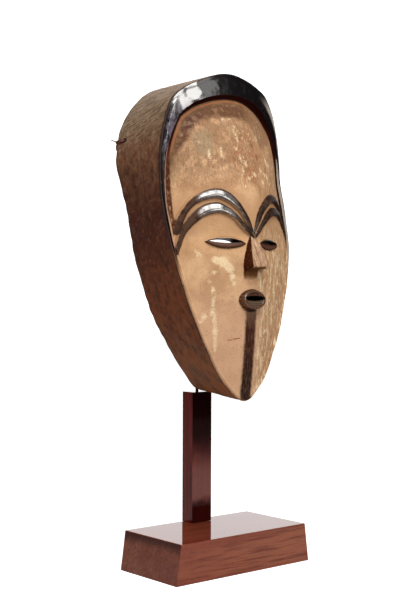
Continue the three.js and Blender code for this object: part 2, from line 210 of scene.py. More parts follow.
# Height of the brows over the face, and the distance outside their edge, for points of the face
def browRelief(x, height):
    rise = np.zeros(len(x))
    reach = np.full(len(x), 60.0)
    for part, sign in (("near", -1), ("far", 1)):
        near = np.nonzero((height > 140) & (height < 235) & (sign * x > -9) & (sign * x < 100))[0]
        spots = np.stack([sign * x[near], height[near]], -1)
        for table in brows[part]:
            line = splineRows(table, brows["samples"])
            tangent = np.gradient(line[:, :2], axis=0)
            tangent /= np.linalg.norm(tangent, axis=1, keepdims=True)
            gaps = spots[:, None] - line[None, :, :2]
            nearest = np.argmin((gaps**2).sum(-1), 1)
            gap = gaps[np.arange(len(near)), nearest]
            ahead = tangent[nearest]
            side = gap[:, 1] * ahead[:, 0] - gap[:, 0] * ahead[:, 1]
            distance = np.linalg.norm(gap, axis=1)
            half = line[nearest, 2] / 2
            t = nearest / (brows["samples"] - 1)
            ends = np.minimum(1, brows["tip"] + 6 * np.minimum(t, 1 - t)) * np.clip(0.3 + half / 6, 0, 1)
            share = np.sign(side) * distance / half
            ridge = brows["rise"] * ends * np.interp(share, brows["profileAt"], brows["profile"])
            rise[near] = np.maximum(rise[near], ridge)
            reach[near] = np.minimum(reach[near], distance - half)
    return rise, reach


# Eyes, each as an almond between two corners, with a slit right through the face
eyes = {
    "inner": (9.0, 163.2), "outer": (57.0, 166.2), "above": 6.6, "below": 6.8, "swell": 2.5,
    "slitInner": (14.5, 165.0), "slitOuter": (52.7, 167.4), "slitAbove": 3.1, "slitBelow": 1.7,
}


def almondMiddle(inner, outer, part):
    return inner[1] + (outer[1] - inner[1]) * part


def almondSwell(part, tall):
    return tall * np.sin(np.pi * np.clip(part, 0, 1)) ** 0.8


# A point's share along an almond, its height over the middle line, the almond's half height there, and how
# far the point is past the corners
def inAlmond(x, height, inner, outer, above, below):
    part = (np.abs(x) - inner[0]) / (outer[0] - inner[0])
    offset = height - almondMiddle(inner, outer, part)
    tall = np.where(offset > 0, almondSwell(part, above), almondSwell(part, below))
    return part, offset, tall, np.maximum(inner[0] - np.abs(x), np.abs(x) - outer[0])


# Height of the lids over the face, and how far a point is outside them
def lidRelief(x, height):
    corners = eyes["inner"], eyes["outer"]
    part, offset, tall, past = inAlmond(x, height, *corners, eyes["above"], eyes["below"])
    tall = np.maximum(tall, 0.05)
    share = np.abs(offset) / tall
    rise = eyes["swell"] * np.sqrt(np.clip(1 - share**4, 0, 1)) * np.minimum(1, tall / 3)
    reach = np.maximum(np.abs(offset) - tall, past)
    return np.where((part > 0) & (part < 1) & (share < 1), rise, 0), reach


# How far a point is outside the slit, and how far above the line between its corners
def slitGap(x, height):
    corners = eyes["slitInner"], eyes["slitOuter"]
    _, offset, tall, past = inAlmond(x, height, *corners, eyes["slitAbove"], eyes["slitBelow"])
    return np.maximum(np.abs(offset) - tall, past), offset


print("form tables ready")


# Helpers for nodes: sockets fed, a node with its inputs, sums, a soft step, a mix of two colours, noise
def feed(tree, socket, value):
    if isinstance(value, bpy.types.NodeSocket):
        tree.links.new(value, socket)
    else:
        socket.default_value = value


def feedAll(tree, node, values):
    for name, value in values.items():
        feed(tree, node.inputs[name], value)


def addNode(tree, kind, inputs=None, **settings):
    made = tree.nodes.new(kind)
    for name, value in settings.items():
        setattr(made, name, value)
    feedAll(tree, made, inputs or {})
    return made


def calc(tree, operation, *values):
    return addNode(tree, "ShaderNodeMath", dict(enumerate(values)), operation=operation).outputs[0]


def calcRow(tree, operation, values):
    out = values[0]
    for value in values[1:]:
        out = calc(tree, operation, out, value)
    return out


def plus(tree, *values):
    return calcRow(tree, "ADD", values)


def minus(tree, *values):
    return calcRow(tree, "SUBTRACT", values)


def times(tree, *values):
    return calcRow(tree, "MULTIPLY", values)


def most(tree, *values):
    return calcRow(tree, "MAXIMUM", values)


# From 0 at low to top at high, which may be the smaller of the two
def fade(tree, value, low, high, top=1.0):
    made = addNode(tree, "ShaderNodeMapRange", {0: value, 1: low, 2: high, 4: top},
                   interpolation_type="SMOOTHSTEP")
    return made.outputs[0]


def tint(tree, factor, below, above):
    return addNode(tree, "ShaderNodeMix", {0: factor, 6: below, 7: above}, data_type="RGBA").outputs[2]


# Noise whose patches are size millimetres across, stretched along each axis by the three numbers in stretch
def noise(tree, vector, size, detail=3.0, rough=0.5, stretch=(1, 1, 1), shift=0.0, bend=0.0):
    mapped = addNode(tree, "ShaderNodeMapping", {"Vector": vector,
                                                 "Location": (shift, shift * 0.7, shift * 1.3),
                                                 "Scale": [1000 / (size * s) for s in stretch]})
    return plainNoise(tree, mapped.outputs[0], detail, rough, bend)


def plainNoise(tree, vector, detail, rough, bend=0.0):
    return addNode(tree, "ShaderNodeTexNoise", {"Vector": vector, "Scale": 1.0, "Detail": detail,
                                                "Roughness": rough,
                                                "Distortion": bend}).outputs[0]


def turned(tree, vector, degreesAbout):
    turn = [math.radians(angle) for angle in degreesAbout]
    return addNode(tree, "ShaderNodeMapping", {"Vector": vector, "Rotation": turn}).outputs[0]


def mark(tree, name):
    return addNode(tree, "ShaderNodeAttribute", attribute_name=name).outputs["Fac"]


def markVector(tree, name):
    return addNode(tree, "ShaderNodeAttribute", attribute_name=name).outputs["Vector"]


def objectPlace(tree):
    return addNode(tree, "ShaderNodeTexCoord").outputs["Object"]


def axes(tree, vector):
    return addNode(tree, "ShaderNodeSeparateXYZ", {0: vector}).outputs


def tone(red, green, blue):
    linear = [c / 255 / 12.92 if c <= 10 else ((c / 255 + 0.055) / 1.055) ** 2.4 for c in (red, green, blue)]
    return (*linear, 1.0)


def tones(table):
    return {name: tone(*value) for name, value in table.items()}


def newGroup(name, inputs, outputs):
    tree = bpy.data.node_groups.new(name, "ShaderNodeTree")
    kinds = {"vector": "NodeSocketVector", "value": "NodeSocketFloat", "colour": "NodeSocketColor"}
    for label, kind in inputs:
        tree.interface.new_socket(label, in_out="INPUT", socket_type=kinds[kind])
    for label, kind in outputs:
        tree.interface.new_socket(label, in_out="OUTPUT", socket_type=kinds[kind])
    return tree, tree.nodes.new("NodeGroupInput").outputs, tree.nodes.new("NodeGroupOutput").inputs


def useGroup(tree, group, **inputs):
    return addNode(tree, "ShaderNodeGroup", inputs, node_tree=group).outputs


# Noise inside a group, as large as the group's Size input says, or a share of it
def groupNoise(tree, start, detail, rough, share=1.0, shift=None):
    size = calc(tree, "DIVIDE", 1000.0 / share, start["Size"])
    vector = addNode(tree, "ShaderNodeVectorMath", {0: start["Vector"], "Scale": size},
                     operation="SCALE").outputs[0]
    if shift is not None:
        vector = addNode(tree, "ShaderNodeVectorMath", {0: vector, 1: (shift,) * 3},
                         operation="ADD").outputs[0]
    return plainNoise(tree, vector, detail, rough)


# Paint with a ragged edge: 1 where Reach is below zero, with Reach and Ragged in millimetres
def raggedEdgeGroup():
    tree, start, end = newGroup("raggedEdge", [("Vector", "vector"), ("Reach", "value"), ("Ragged", "value"),
                                               ("Size", "value"), ("Soft", "value")], [("Mask", "value")])
    grain = groupNoise(tree, start, 4.0, 0.6)
    wander = times(tree, minus(tree, grain, 0.5), times(tree, start["Ragged"], 4.0))
    reach = plus(tree, start["Reach"], wander)
    feed(tree, end["Mask"], fade(tree, reach, start["Soft"], times(tree, start["Soft"], -1.0)))
    return tree


# Wear: 1 on what sticks out more than Start, broken up by noise of Size millimetres
def wornEdgeGroup():
    tree, start, end = newGroup("wornEdge", [("Vector", "vector"), ("Bulge", "value"), ("Start", "value"),
                                             ("Full", "value"), ("Size", "value")], [("Mask", "value")])
    grain = groupNoise(tree, start, 5.0, 0.65)
    lifted = plus(tree, start["Bulge"], times(tree, minus(tree, grain, 0.5), 0.35))
    feed(tree, end["Mask"], fade(tree, lifted, start["Start"], start["Full"]))
    return tree


# Wood grain that runs along the first axis: fine lines, short pores and broad bands
def woodGrainGroup():
    tree, start, end = newGroup("woodGrain", [("Vector", "vector"), ("Spacing", "value"),
                                              ("Length", "value")],
                                [("Lines", "value"), ("Pores", "value"), ("Bands", "value")])
    x, y, z = axes(tree, start["Vector"])
    across = calc(tree, "DIVIDE", 1000.0, start["Spacing"])
    lengthwise = calc(tree, "DIVIDE", across, start["Length"])

    def stretchedNoise(length, width, detail, rough):
        scales = [times(tree, lengthwise, length)] + [times(tree, across, width)] * 2
        parts = {number: times(tree, axis, scale) for number,
                 (axis, scale) in enumerate(zip((x, y, z), scales))}
        return plainNoise(tree, addNode(tree, "ShaderNodeCombineXYZ", parts).outputs[0], detail, rough)

    feed(tree, end["Lines"], stretchedNoise(1.0, 1.0, 4.0, 0.6))
    pores = stretchedNoise(3.0, 3.2, 2.0, 0.5)
    feed(tree, end["Pores"], fade(tree, pores, 0.62, 0.72))
    feed(tree, end["Bands"], stretchedNoise(0.35, 0.16, 2.0, 0.5))
    return tree


# Old dirt and dust: broad patches and fine specks
def mottleGroup():
    tree, start, end = newGroup("mottle", [("Vector", "vector"), ("Size", "value")],
                                [("Patches", "value"), ("Blotches", "value"), ("Specks", "value")])
    kinds = (("Patches", 1.0, 3.0, 0.0), ("Blotches", 0.28, 4.0, 3.1), ("Specks", 0.06, 2.0, 7.7))
    for label, share, detail, shift in kinds:
        feed(tree, end[label], groupNoise(tree, start, detail, 0.58, share, shift))
    return tree


raggedEdge = raggedEdgeGroup()
wornEdge = wornEdgeGroup()
woodGrain = woodGrainGroup()
mottle = mottleGroup()


# Paint up to a ragged edge, from a mark's name or a distance; ragged, size and soft are in millimetres
def painted(tree, place, reach, ragged, size, soft):
    reach = mark(tree, reach) if isinstance(reach, str) else reach
    return useGroup(tree, raggedEdge, Vector=place, Reach=reach, Ragged=ragged, Size=size, Soft=soft)["Mask"]


# Clears a finish and gives back its tree and its shader, with plain numbers set on the shader's sockets
def startFinish(material, **constants):
    material.use_nodes = True
    tree = material.node_tree
    tree.nodes.clear()
    shader = addNode(tree, "ShaderNodeBsdfPrincipled")
    feedAll(tree, shader, constants)
    addNode(tree, "ShaderNodeOutputMaterial", {"Surface": shader.outputs[0]})
    return tree, shader


def addBump(tree, shader, height, distance, strength=1.0):
    made = addNode(tree, "ShaderNodeBump", {"Height": height, "Distance": distance, "Strength": strength})
    feed(tree, shader.inputs["Normal"], made.outputs[0])


# Rows of the shell from the face's centre, over the band, down the wall, round the rim and back inside.
# Each row gives radius and depth for every column; the inside has half as many columns.
shellRows = {
    "face": 118, "band": 15, "wall": 46, "innerWall": 16, "innerFace": 26,
    "bandCrown": 0.5, "edgeRound": 1.0, "rimRound": 1.4,
}
faceSlot, wallSlot, hollowSlot = 0, 1, 2


def columnAngles(count):
    turn = np.arange(count) / count
    share = 1 - np.abs(1 - 2 * turn)
    angle = 180 * (share - carving["tipDensity"] * np.sin(2 * np.pi * share) / (2 * np.pi))
    return angle, np.where(turn < 0.5, 1.0, -1.0)


def wallRadius(angle, share):
    back = along(backRadius, angle)
    return back + (along(frontRadius, angle) - back) * share


def buildRows(angle):
    rimRadius, rimDepth, bandEdge, bandDepth = faceRim(angle)
    front, depth = along(frontRadius, angle), along(frontDepth, angle)
    thick = carving["wallAtRim"]
    rows = []

    def onFace(radius, sunk):
        x = radius * np.sin(np.radians(angle))
        height = carving["centreHeight"] + radius * np.cos(np.radians(angle))
        return radius, faceDepth(x, height) - sunk

    def onWall(share, inset):
        return wallRadius(angle, share) - inset, depth * share

    def mound(radius, rise, middle, size):
        across = (radius * np.sin(np.radians(angle)) - middle[0]) / size[0]
        up = (radius * np.cos(np.radians(angle)) - middle[1]) / size[1]
        return rise * np.exp(-(across**2) - up**2)

    for part in np.linspace(0, 1, shellRows["face"] + 1)[1:]:
        rows.append((onFace(rimRadius * part, 0), faceSlot))
    for t in (0.2, 0.45, 0.7, 0.88, 1.0):
        rise = t**2.2 if t < 0.9 else 1 - (1 - t) * 0.5
        rows.append(((rimRadius + (bandEdge - rimRadius) * t, rimDepth + (bandDepth - rimDepth) * rise),
                     faceSlot))
    edge = shellRows["edgeRound"]
    for t in np.linspace(0, 1, shellRows["band"] + 1)[1:]:
        crown = 4 * shellRows["bandCrown"] * t * (1 - t)
        fall = smooth(t, 0.7, 1.05)
        rows.append(((bandEdge + (front - edge - bandEdge) * t,
                      bandDepth + crown + (depth - 0.2 - bandDepth) * fall), faceSlot))
    for turn in (0.35, 0.7, 1.0):
        sweep = turn * np.pi / 2
        rows.append(((front - edge + edge * np.sin(sweep), depth - 0.2 - edge + edge * np.cos(sweep)),
                     wallSlot))
    for share in np.linspace(0.965, 0.03, shellRows["wall"]):
        rows.append((onWall(share, 0), wallSlot))
    rounding = shellRows["rimRound"]
    back = along(backRadius, angle)
    for turn in (0.0, 0.35, 0.7, 1.0):
        sweep = turn * np.pi / 2
        rows.append(((back - rounding + rounding * np.cos(sweep), rounding * (1 - np.sin(sweep)) + 0 * back),
                     wallSlot))
    for inset in (3.4, 5.6, 7.6):
        rows.append(((back - inset, 0 * back), wallSlot))
    for turn in (0.0, 0.35, 0.7, 1.0):
        sweep = turn * np.pi / 2
        inward = back - thick + rounding - rounding * np.sin(sweep)
        rows.append(((inward, rounding * (1 - np.cos(sweep)) + 0 * back), wallSlot))
    outside = len(rows)
    for share in np.linspace(0.035, 0.7, shellRows["innerWall"]):
        rows.append((onWall(share, thick + along([[0, 0], [0.35, 1], [0.7, 3.5]], share)), hollowSlot))
    for part in np.linspace(0.94, 0.03, shellRows["innerFace"]):
        inner = (rimRadius - carving["cornerInset"]) * part
        behindNose = mound(inner, carving["noseBack"], carving["noseBackAt"], carving["noseBackSize"])
        behindEye = mound(inner, carving["eyeThin"], carving["eyeThinAt"], carving["eyeThinSize"])
        thickness = carving["faceThickness"] + carving["cornerFill"] * part**8 + (behindNose - behindEye)
        rows.append((onFace(inner, thickness), hollowSlot))
    return rows, outside


# Quads between two rings of points, each ring given by the number of its first point
def ringQuads(a, b, count):
    return [(a + j, b + j, b + (j + 1) % count, a + (j + 1) % count) for j in range(count)]


def ringFan(first, tip, count):
    return [(first + j, first + (j + 1) % count, tip) for j in range(count)]


# The shell as vertices and faces, with the face's centre and the inside's centre as single points
def buildShell():
    count = carving["columns"]
    angle, side = columnAngles(count)
    rows, outside = buildRows(angle)
    centre = faceDepth(np.zeros(1), np.array([carving["centreHeight"]]))[0]
    spots, first = [[0, carving["centreHeight"], centre]], []
    for number, ((radius, depth), _) in enumerate(rows):
        step = 1 if number < outside else 2
        sweep = np.radians(angle[::step])
        first.append(len(spots))
        x = side[::step] * radius[::step] * np.sin(sweep)
        height = carving["centreHeight"] + radius[::step] * np.cos(sweep)
        spots.extend(np.stack([x, height, depth[::step]], -1).tolist())
    spots.append([0, carving["centreHeight"], centre - carving["faceThickness"]])
    half, last = count // 2, first[-1]
    faces = [(0, first[0] + j, first[0] + (j + 1) % count) for j in range(count)]
    materials = [faceSlot] * count
    for number in range(len(rows) - 1):
        a, b, kind = first[number], first[number + 1], rows[number + 1][1]
        if number + 1 == outside:
            for j in range(half):
                faces.append((a + 2 * j, b + j, a + 2 * j + 1))
                faces.append((a + 2 * j + 1, b + j, b + (j + 1) % half, a + (2 * j + 2) % count))
        else:
            faces += ringQuads(a, b, count if number + 1 < outside else half)
        materials += [kind] * (len(faces) - len(materials))
    faces += [(last + j, len(spots) - 1, last + (j + 1) % half) for j in range(half)]
    return np.array(spots, float), faces, materials + [hollowSlot] * half


def meshFrom(name, spots, faces, materials=None):
    mesh = bpy.data.meshes.new(name)
    mesh.from_pydata([tuple(spot) for spot in spots], [], faces)
    if materials is not None:
        mesh.polygons.foreach_set("material_index", materials)
    mesh.update()
    return mesh


def vectorsOf(items, key):
    flat = np.empty(len(items) * 3)
    items.foreach_get(key, flat)
    return flat.reshape(-1, 3)


def meshSpots(mesh):
    return vectorsOf(mesh.vertices, "co")


def meshNormals(mesh):
    return vectorsOf(mesh.vertex_normals, "vector")


def setSpots(mesh, spots):
    mesh.vertices.foreach_set("co", np.asarray(spots, float).ravel())
    mesh.update()


# Turns a closed mesh right side out, by its volume
def faceOutwards(mesh):
    work = bmesh.new()
    work.from_mesh(mesh)
    bmesh.ops.recalc_face_normals(work, faces=work.faces)
    if work.calc_volume(signed=True) < 0:
        bmesh.ops.reverse_faces(work, faces=work.faces)
    work.to_mesh(mesh)
    work.free()
    mesh.update()


# Tool marks: shallow scoops, longer than they are wide, that meet in low ridges
def scoops(u, v, length, width, turn, depth, seed):
    random = np.random.default_rng(seed)
    sweep = math.radians(turn)
    a = (u * math.cos(sweep) + v * math.sin(sweep)) / length
    b = (-u * math.sin(sweep) + v * math.cos(sweep)) / width
    low, high = np.array([a.min(), b.min()]) - 1, np.array([a.max(), b.max()]) + 1
    count = int(np.prod(high - low) * 1.1)
    centres = low + random.random((count, 2)) * (high - low)
    lifts = random.uniform(-0.25, 0.25, count)
    tree = kdtree.KDTree(count)
    for i, (p, q) in enumerate(centres):
        tree.insert((p, q, 0), i)
    tree.balance()
    out = np.empty(len(a))
    for i in range(len(a)):
        found = tree.find_n((a[i], b[i], 0), 2)
        out[i] = min(gap * gap + lifts[spot] for _, spot, gap in found)
    return depth * (np.clip(out, -0.3, 1.2) - 0.35)


# Soft unevenness from a few sine waves in random directions
def unevenness(spots, size, depth, seed, waves=14):
    random = np.random.default_rng(seed)
    ways = random.normal(size=(waves, 3))
    ways /= np.linalg.norm(ways, axis=1, keepdims=True)
    phases = random.uniform(0, 2 * np.pi, waves)
    scales = random.uniform(0.6, 1.6, waves) * 2 * np.pi / size
    total = np.sin(spots @ (ways * scales[:, None]).T + phases).sum(1)
    return depth * total / math.sqrt(waves)


# How far along the outline a point lies, measured from the crown, in millimetres
def outlineLength(angle):
    steps = np.linspace(0, 180, 361)
    radius = wallRadius(steps, 0.5)
    x, height = radius * np.sin(np.radians(steps)), radius * np.cos(np.radians(steps))
    lengths = np.concatenate([[0], np.cumsum(np.hypot(np.diff(x), np.diff(height)))])
    return np.interp(angle, steps, lengths)


# Scoops: length, width, turn in degrees and depth. Waves: size and depth. The last number of each is its seed
surface = {
    "wallScoop": (19.0, 6.5, -40.0, 0.26, 22),
    "crownScoop": (26.0, 6.0, 106.0, 0.45, 23),
    "hollowScoop": (26.0, 12.0, 78.0, 1.3, 24),
    "faceWave": (34.0, 0.22, 11),
    "faceRipple": (9.0, 0.07, 12),
    "wallWave": (34.0, 0.26, 13),
    "rimWave": (15.0, 0.2, 14),
    "bandScoop": (11.0, 9.0, 20.0, 0.42, 21),
}


def carveShell(mesh):
    spots, normals = meshSpots(mesh), meshNormals(mesh)
    kinds = np.zeros(len(spots), int)
    for polygon in mesh.polygons:
        kinds[list(polygon.vertices)] = polygon.material_index
    x, height, depth = spots.T
    angle = crownAngle(x, height)
    radius = np.hypot(x, height - carving["centreHeight"])
    edge = along(frontRadius, angle)
    bandEdge = edge - along(bandWidth, angle)
    face = kinds == faceSlot
    raised = np.maximum(browRelief(x, height)[0], lidRelief(x, height)[0])
    raised = np.where(face & (radius < bandEdge - 1), raised, 0)

    def wave(name, where):
        return np.where(where, unevenness(spots, *surface[name]), 0)

    shift = wave("faceWave", face) + wave("faceRipple", face & (raised <= 0))
    length = outlineLength(angle) * np.sign(x)
    band = np.nonzero(face & (radius > bandEdge))[0]
    ease = smooth(radius[band] - bandEdge[band], 0, 3) * smooth(edge[band] - radius[band], 0.5, 4)
    shift[band] += ease * scoops(length[band], radius[band], *surface["bandScoop"])
    share = depth / along(frontDepth, angle)
    wall = np.nonzero((kinds == wallSlot) & (depth > 0.5) & (radius > wallRadius(angle, share) - 3))[0]
    ease = smooth(share[wall], 0, 0.06) * smooth(1 - share[wall], 0.0, 0.06)
    crown = smooth(height[wall], 275, 330)
    low = scoops(length[wall], depth[wall], *surface["wallScoop"])
    high = scoops(np.abs(length[wall]), depth[wall], *surface["crownScoop"])
    shift[wall] += ease * (low * (1 - crown) + high * crown)
    shift += wave("wallWave", kinds == wallSlot)
    shift += wave("rimWave", (kinds == wallSlot) & (depth < 6))
    hollow = np.nonzero(kinds == hollowSlot)[0]
    shift[hollow] += scoops(x[hollow], height[hollow], *surface["hollowScoop"])
    setSpots(mesh, spots + normals * shift[:, None] + faceNormal(x, height) * raised[:, None])


print("shell functions ready")


# The nose: a wedge with steep sides and softened edges, standing off the face most at its foot.
# Its half width and the place of its middle are given by height; it leans a little to the mask's left.
nose = {
    "top": 173.0, "foot": 133.8, "root": 5.0, "topDepth": 117.4, "footDepth": 125.6,
    "half": [[133.8, 14.6], [138, 15.0], [144, 14.6], [150.5, 13.0], [156, 10.7], [161.5, 8.6], [167, 6.2],
             [173, 3.6]],
    "middle": [[133.8, 3.2], [144, 3.2], [150.5, 2.7], [156, 1.8], [167, 0.2], [173, 0.0]],
    "sections": 46, "footRound": 4.6, "roundIn": 0.7, "roundDown": 0.55, "groove": 0.5, "grooveAt": 0.56,
    "grooveWide": 0.11,
    "corners": [[-1.08, 0], [-1.0, 0.42], [-0.87, 0.9], [-0.62, 1], [0.62, 1], [0.87, 0.9], [1.0, 0.42],
                [1.08, 0]],
}


def softened(corners, rounds):
    line = np.asarray(corners, float)
    for _ in range(rounds):
        cut = np.empty((2 * len(line) - 2, 2))
        cut[0::2] = line[:-1] * 0.78 + line[1:] * 0.22
        cut[1::2] = line[:-1] * 0.22 + line[1:] * 0.78
        line = np.vstack([line[:1], cut, line[-1:]])
    return line


def buildNose():
    profile = softened(nose["corners"], 3)
    spots, faces = [], []
    across, out = profile.T
    for t in 0.5 - 0.5 * np.cos(np.linspace(0, np.pi, nose["sections"])):
        height = nose["top"] + (nose["foot"] - nose["top"]) * t
        half = float(along(nose["half"], height))
        rise = height - nose["foot"]
        rounding = nose["footRound"] * (1 - math.sqrt(max(0, 1 - max(0, 1 - rise / nose["footRound"]) ** 2)))
        x = float(along(nose["middle"], height)) + across * (half - nose["roundIn"] * rounding)
        groove = np.exp(-((np.abs(across) - nose["grooveAt"]) / nose["grooveWide"]) ** 2)
        groove = nose["groove"] * smooth(t, 0.4, 0.75) * groove
        ridge = nose["topDepth"] + (nose["footDepth"] - nose["topDepth"]) * t**0.8
        ridge = ridge - nose["roundDown"] * rounding - groove
        under = faceDepth(x, np.full(len(x), height)) - nose["root"]
        for a, depth in zip(x, under + (ridge - under) * out):
            spots.append((a, height, depth))
    count, sections = len(profile), nose["sections"]
    for row in range(sections - 1):
        faces += ringQuads(row * count, (row + 1) * count, count)
    for row in (0, sections - 1):
        ring = np.array(spots[row * count:(row + 1) * count])
        spots.append(tuple((ring[0] + ring[-1]) / 2))
        faces += ringFan(row * count, len(spots) - 1, count)
    return spots, faces


# The mouth: a short oval barrel, its lips set inside a raised ring, with a blind slit between them
mouth = {
    "x": 0.8, "height": 99.8, "halfWidth": 16.5, "halfHeight": 10.9, "depth": 111.4, "flare": 1.5,
    "root": 13.0, "settle": 1.2,
    "lipEdge": 0.72, "lipSunk": 1.3, "lipSwell": 1.2, "lipFold": 1.1, "upperLip": 4.8,
    "lowerLip": 8.0, "around": 112,
    "ring": [[0.745, 0.45], [0.78, 0.95], [0.81, 1.12], [0.87, 1.2], [0.93, 1.05], [0.965, 0.75], [0.99, 0.2],
             [1.0, -0.5]],
    "slitHeight": 101.4, "slitHalfWidth": 12.2, "slitHalfHeight": 2.3, "slitDepth": 11.0,
}


def lipSwell(x, height):
    offset = height - mouth["slitHeight"]
    room = np.where(offset > 0, mouth["upperLip"], mouth["lowerLip"])
    part = np.clip((np.abs(offset) - mouth["slitHalfHeight"] * 0.6) / room, 0, 1)
    swell = mouth["lipSwell"] * np.sin(np.pi * np.clip(part, 0.0, 0.96)) ** 0.7
    return swell - mouth["lipFold"] * (1 - smooth(part, 0, 0.25))


def buildMouth():
    turn = 2 * np.pi * np.arange(mouth["around"]) / mouth["around"]
    rows = [[spread, 0] for spread in np.linspace(0.04, mouth["lipEdge"], 18)]
    rows += mouth["ring"]
    edge, foot = mouth["ring"][-1][1], 1 + mouth["flare"] / mouth["halfWidth"]
    rows += [[1 + (foot - 1) * t, edge - (mouth["root"] + edge) * t] for t in (0.15, 0.3, 0.45, 0.6, 0.8,
                                                                               1.0)]
    lips = mouth["depth"] - mouth["lipSunk"] - mouth["settle"]
    spots, faces = [], []
    for spread, level in rows:
        x = mouth["x"] + spread * mouth["halfWidth"] * np.cos(turn)
        height = mouth["height"] + spread * mouth["halfHeight"] * np.sin(turn)
        base = np.full(len(turn), mouth["depth"] + level - mouth["settle"])
        if spread <= mouth["lipEdge"] + 1e-6:
            base = lips + lipSwell(x, height)
        spots.extend(zip(x, height, base))
    count = len(turn)
    for row in range(len(rows) - 1):
        faces += ringQuads(row * count, (row + 1) * count, count)
    front = float(lips + lipSwell(0.0, mouth["height"]))
    for row, depth in ((0, front), (len(rows) - 1, mouth["depth"] - mouth["root"] - mouth["settle"])):
        spots.append((mouth["x"], mouth["height"], depth))
        faces += ringFan(row * count, len(spots) - 1, count)
    return spots, faces


# A closed prism between two outlines that have as many points
def prism(near, far):
    count = len(near)
    ends = [tuple(range(count)), tuple(range(2 * count - 1, count - 1, -1))]
    return near + far, ends + ringQuads(0, count, count)


# A straight cutter with an outline given as points across the face, between two depths
def cutterFrom(outline, near, far):
    return prism(*([(x, height, depth) for x, height in outline] for depth in (near, far)))


def eyeOutline(side):
    steps = 30
    turn = np.arange(2 * steps) / steps
    part = 1 - np.abs(1 - turn)
    inner, outer = eyes["slitInner"], eyes["slitOuter"]
    x = side * (inner[0] + (outer[0] - inner[0]) * part)
    tall = np.where(turn < 1, almondSwell(part, eyes["slitAbove"]), -almondSwell(part, eyes["slitBelow"]))
    return list(zip(x, almondMiddle(inner, outer, part) + tall))


def slitOutline():
    turn = 2 * np.pi * np.arange(56) / 56
    return list(zip(mouth["x"] + mouth["slitHalfWidth"] * np.cos(turn),
                    mouth["slitHeight"] + mouth["slitHalfHeight"] * np.sin(turn)))


# Round holes for the lacing, one through each side wall near the back rim
lacingHole = {"height": 299.0, "depth": 11.0, "radius": 2.7, "length": 50.0, "sides": 40, "darkDepth": 12.4,
              "darkLong": 5.0}


def halfWidthAt(height, share):
    angles = np.arange(0, 180, 0.1)
    reach = carving["centreHeight"] + wallRadius(angles, share) * np.cos(np.radians(angles))
    angle = angles[np.nonzero(reach <= height)[0][0]]
    return float(wallRadius(angle, share) * np.sin(np.radians(angle)))


def holeCutter(side):
    middle = side * (halfWidthAt(lacingHole["height"], 0) - lacingHole["length"] / 4)
    turn = 2 * np.pi * np.arange(lacingHole["sides"]) / lacingHole["sides"]
    half, radius = lacingHole["length"] / 2, lacingHole["radius"]
    ring = [(lacingHole["height"] + radius * math.sin(sweep), lacingHole["depth"] + radius * math.cos(sweep))
            for sweep in turn]
    return prism(*([(x, height, depth) for height, depth in ring] for x in (middle - half, middle + half)))


def cutOrJoin(target, tools, operation):
    for number, (spots, faces, kind) in enumerate(tools):
        mesh = meshFrom("tool%d" % number, spots, faces, [kind] * len(faces))
        faceOutwards(mesh)
        tool = addObject("tool%d" % number, mesh)
        for slot in target.data.materials:
            mesh.materials.append(slot)
        change = target.modifiers.new("change", "BOOLEAN")
        change.operation = operation
        change.solver = "MANIFOLD"
        change.object = tool
        depsgraph = bpy.context.evaluated_depsgraph_get()
        changed = bpy.data.meshes.new_from_object(target.evaluated_get(depsgraph))
        target.modifiers.remove(change)
        old = target.data
        target.data = changed
        bpy.data.meshes.remove(old)
        bpy.data.objects.remove(tool)
        bpy.data.meshes.remove(mesh)


def toRow(spots):
    lean = math.radians(carving["lean"])
    x, height, depth = np.asarray(spots, float).T
    foot = carving["foot"]
    return np.stack([x + foot[0],
                     foot[1] - depth * math.cos(lean) + height * math.sin(lean),
                     foot[2] + depth * math.sin(lean) + height * math.cos(lean)], -1) * mm


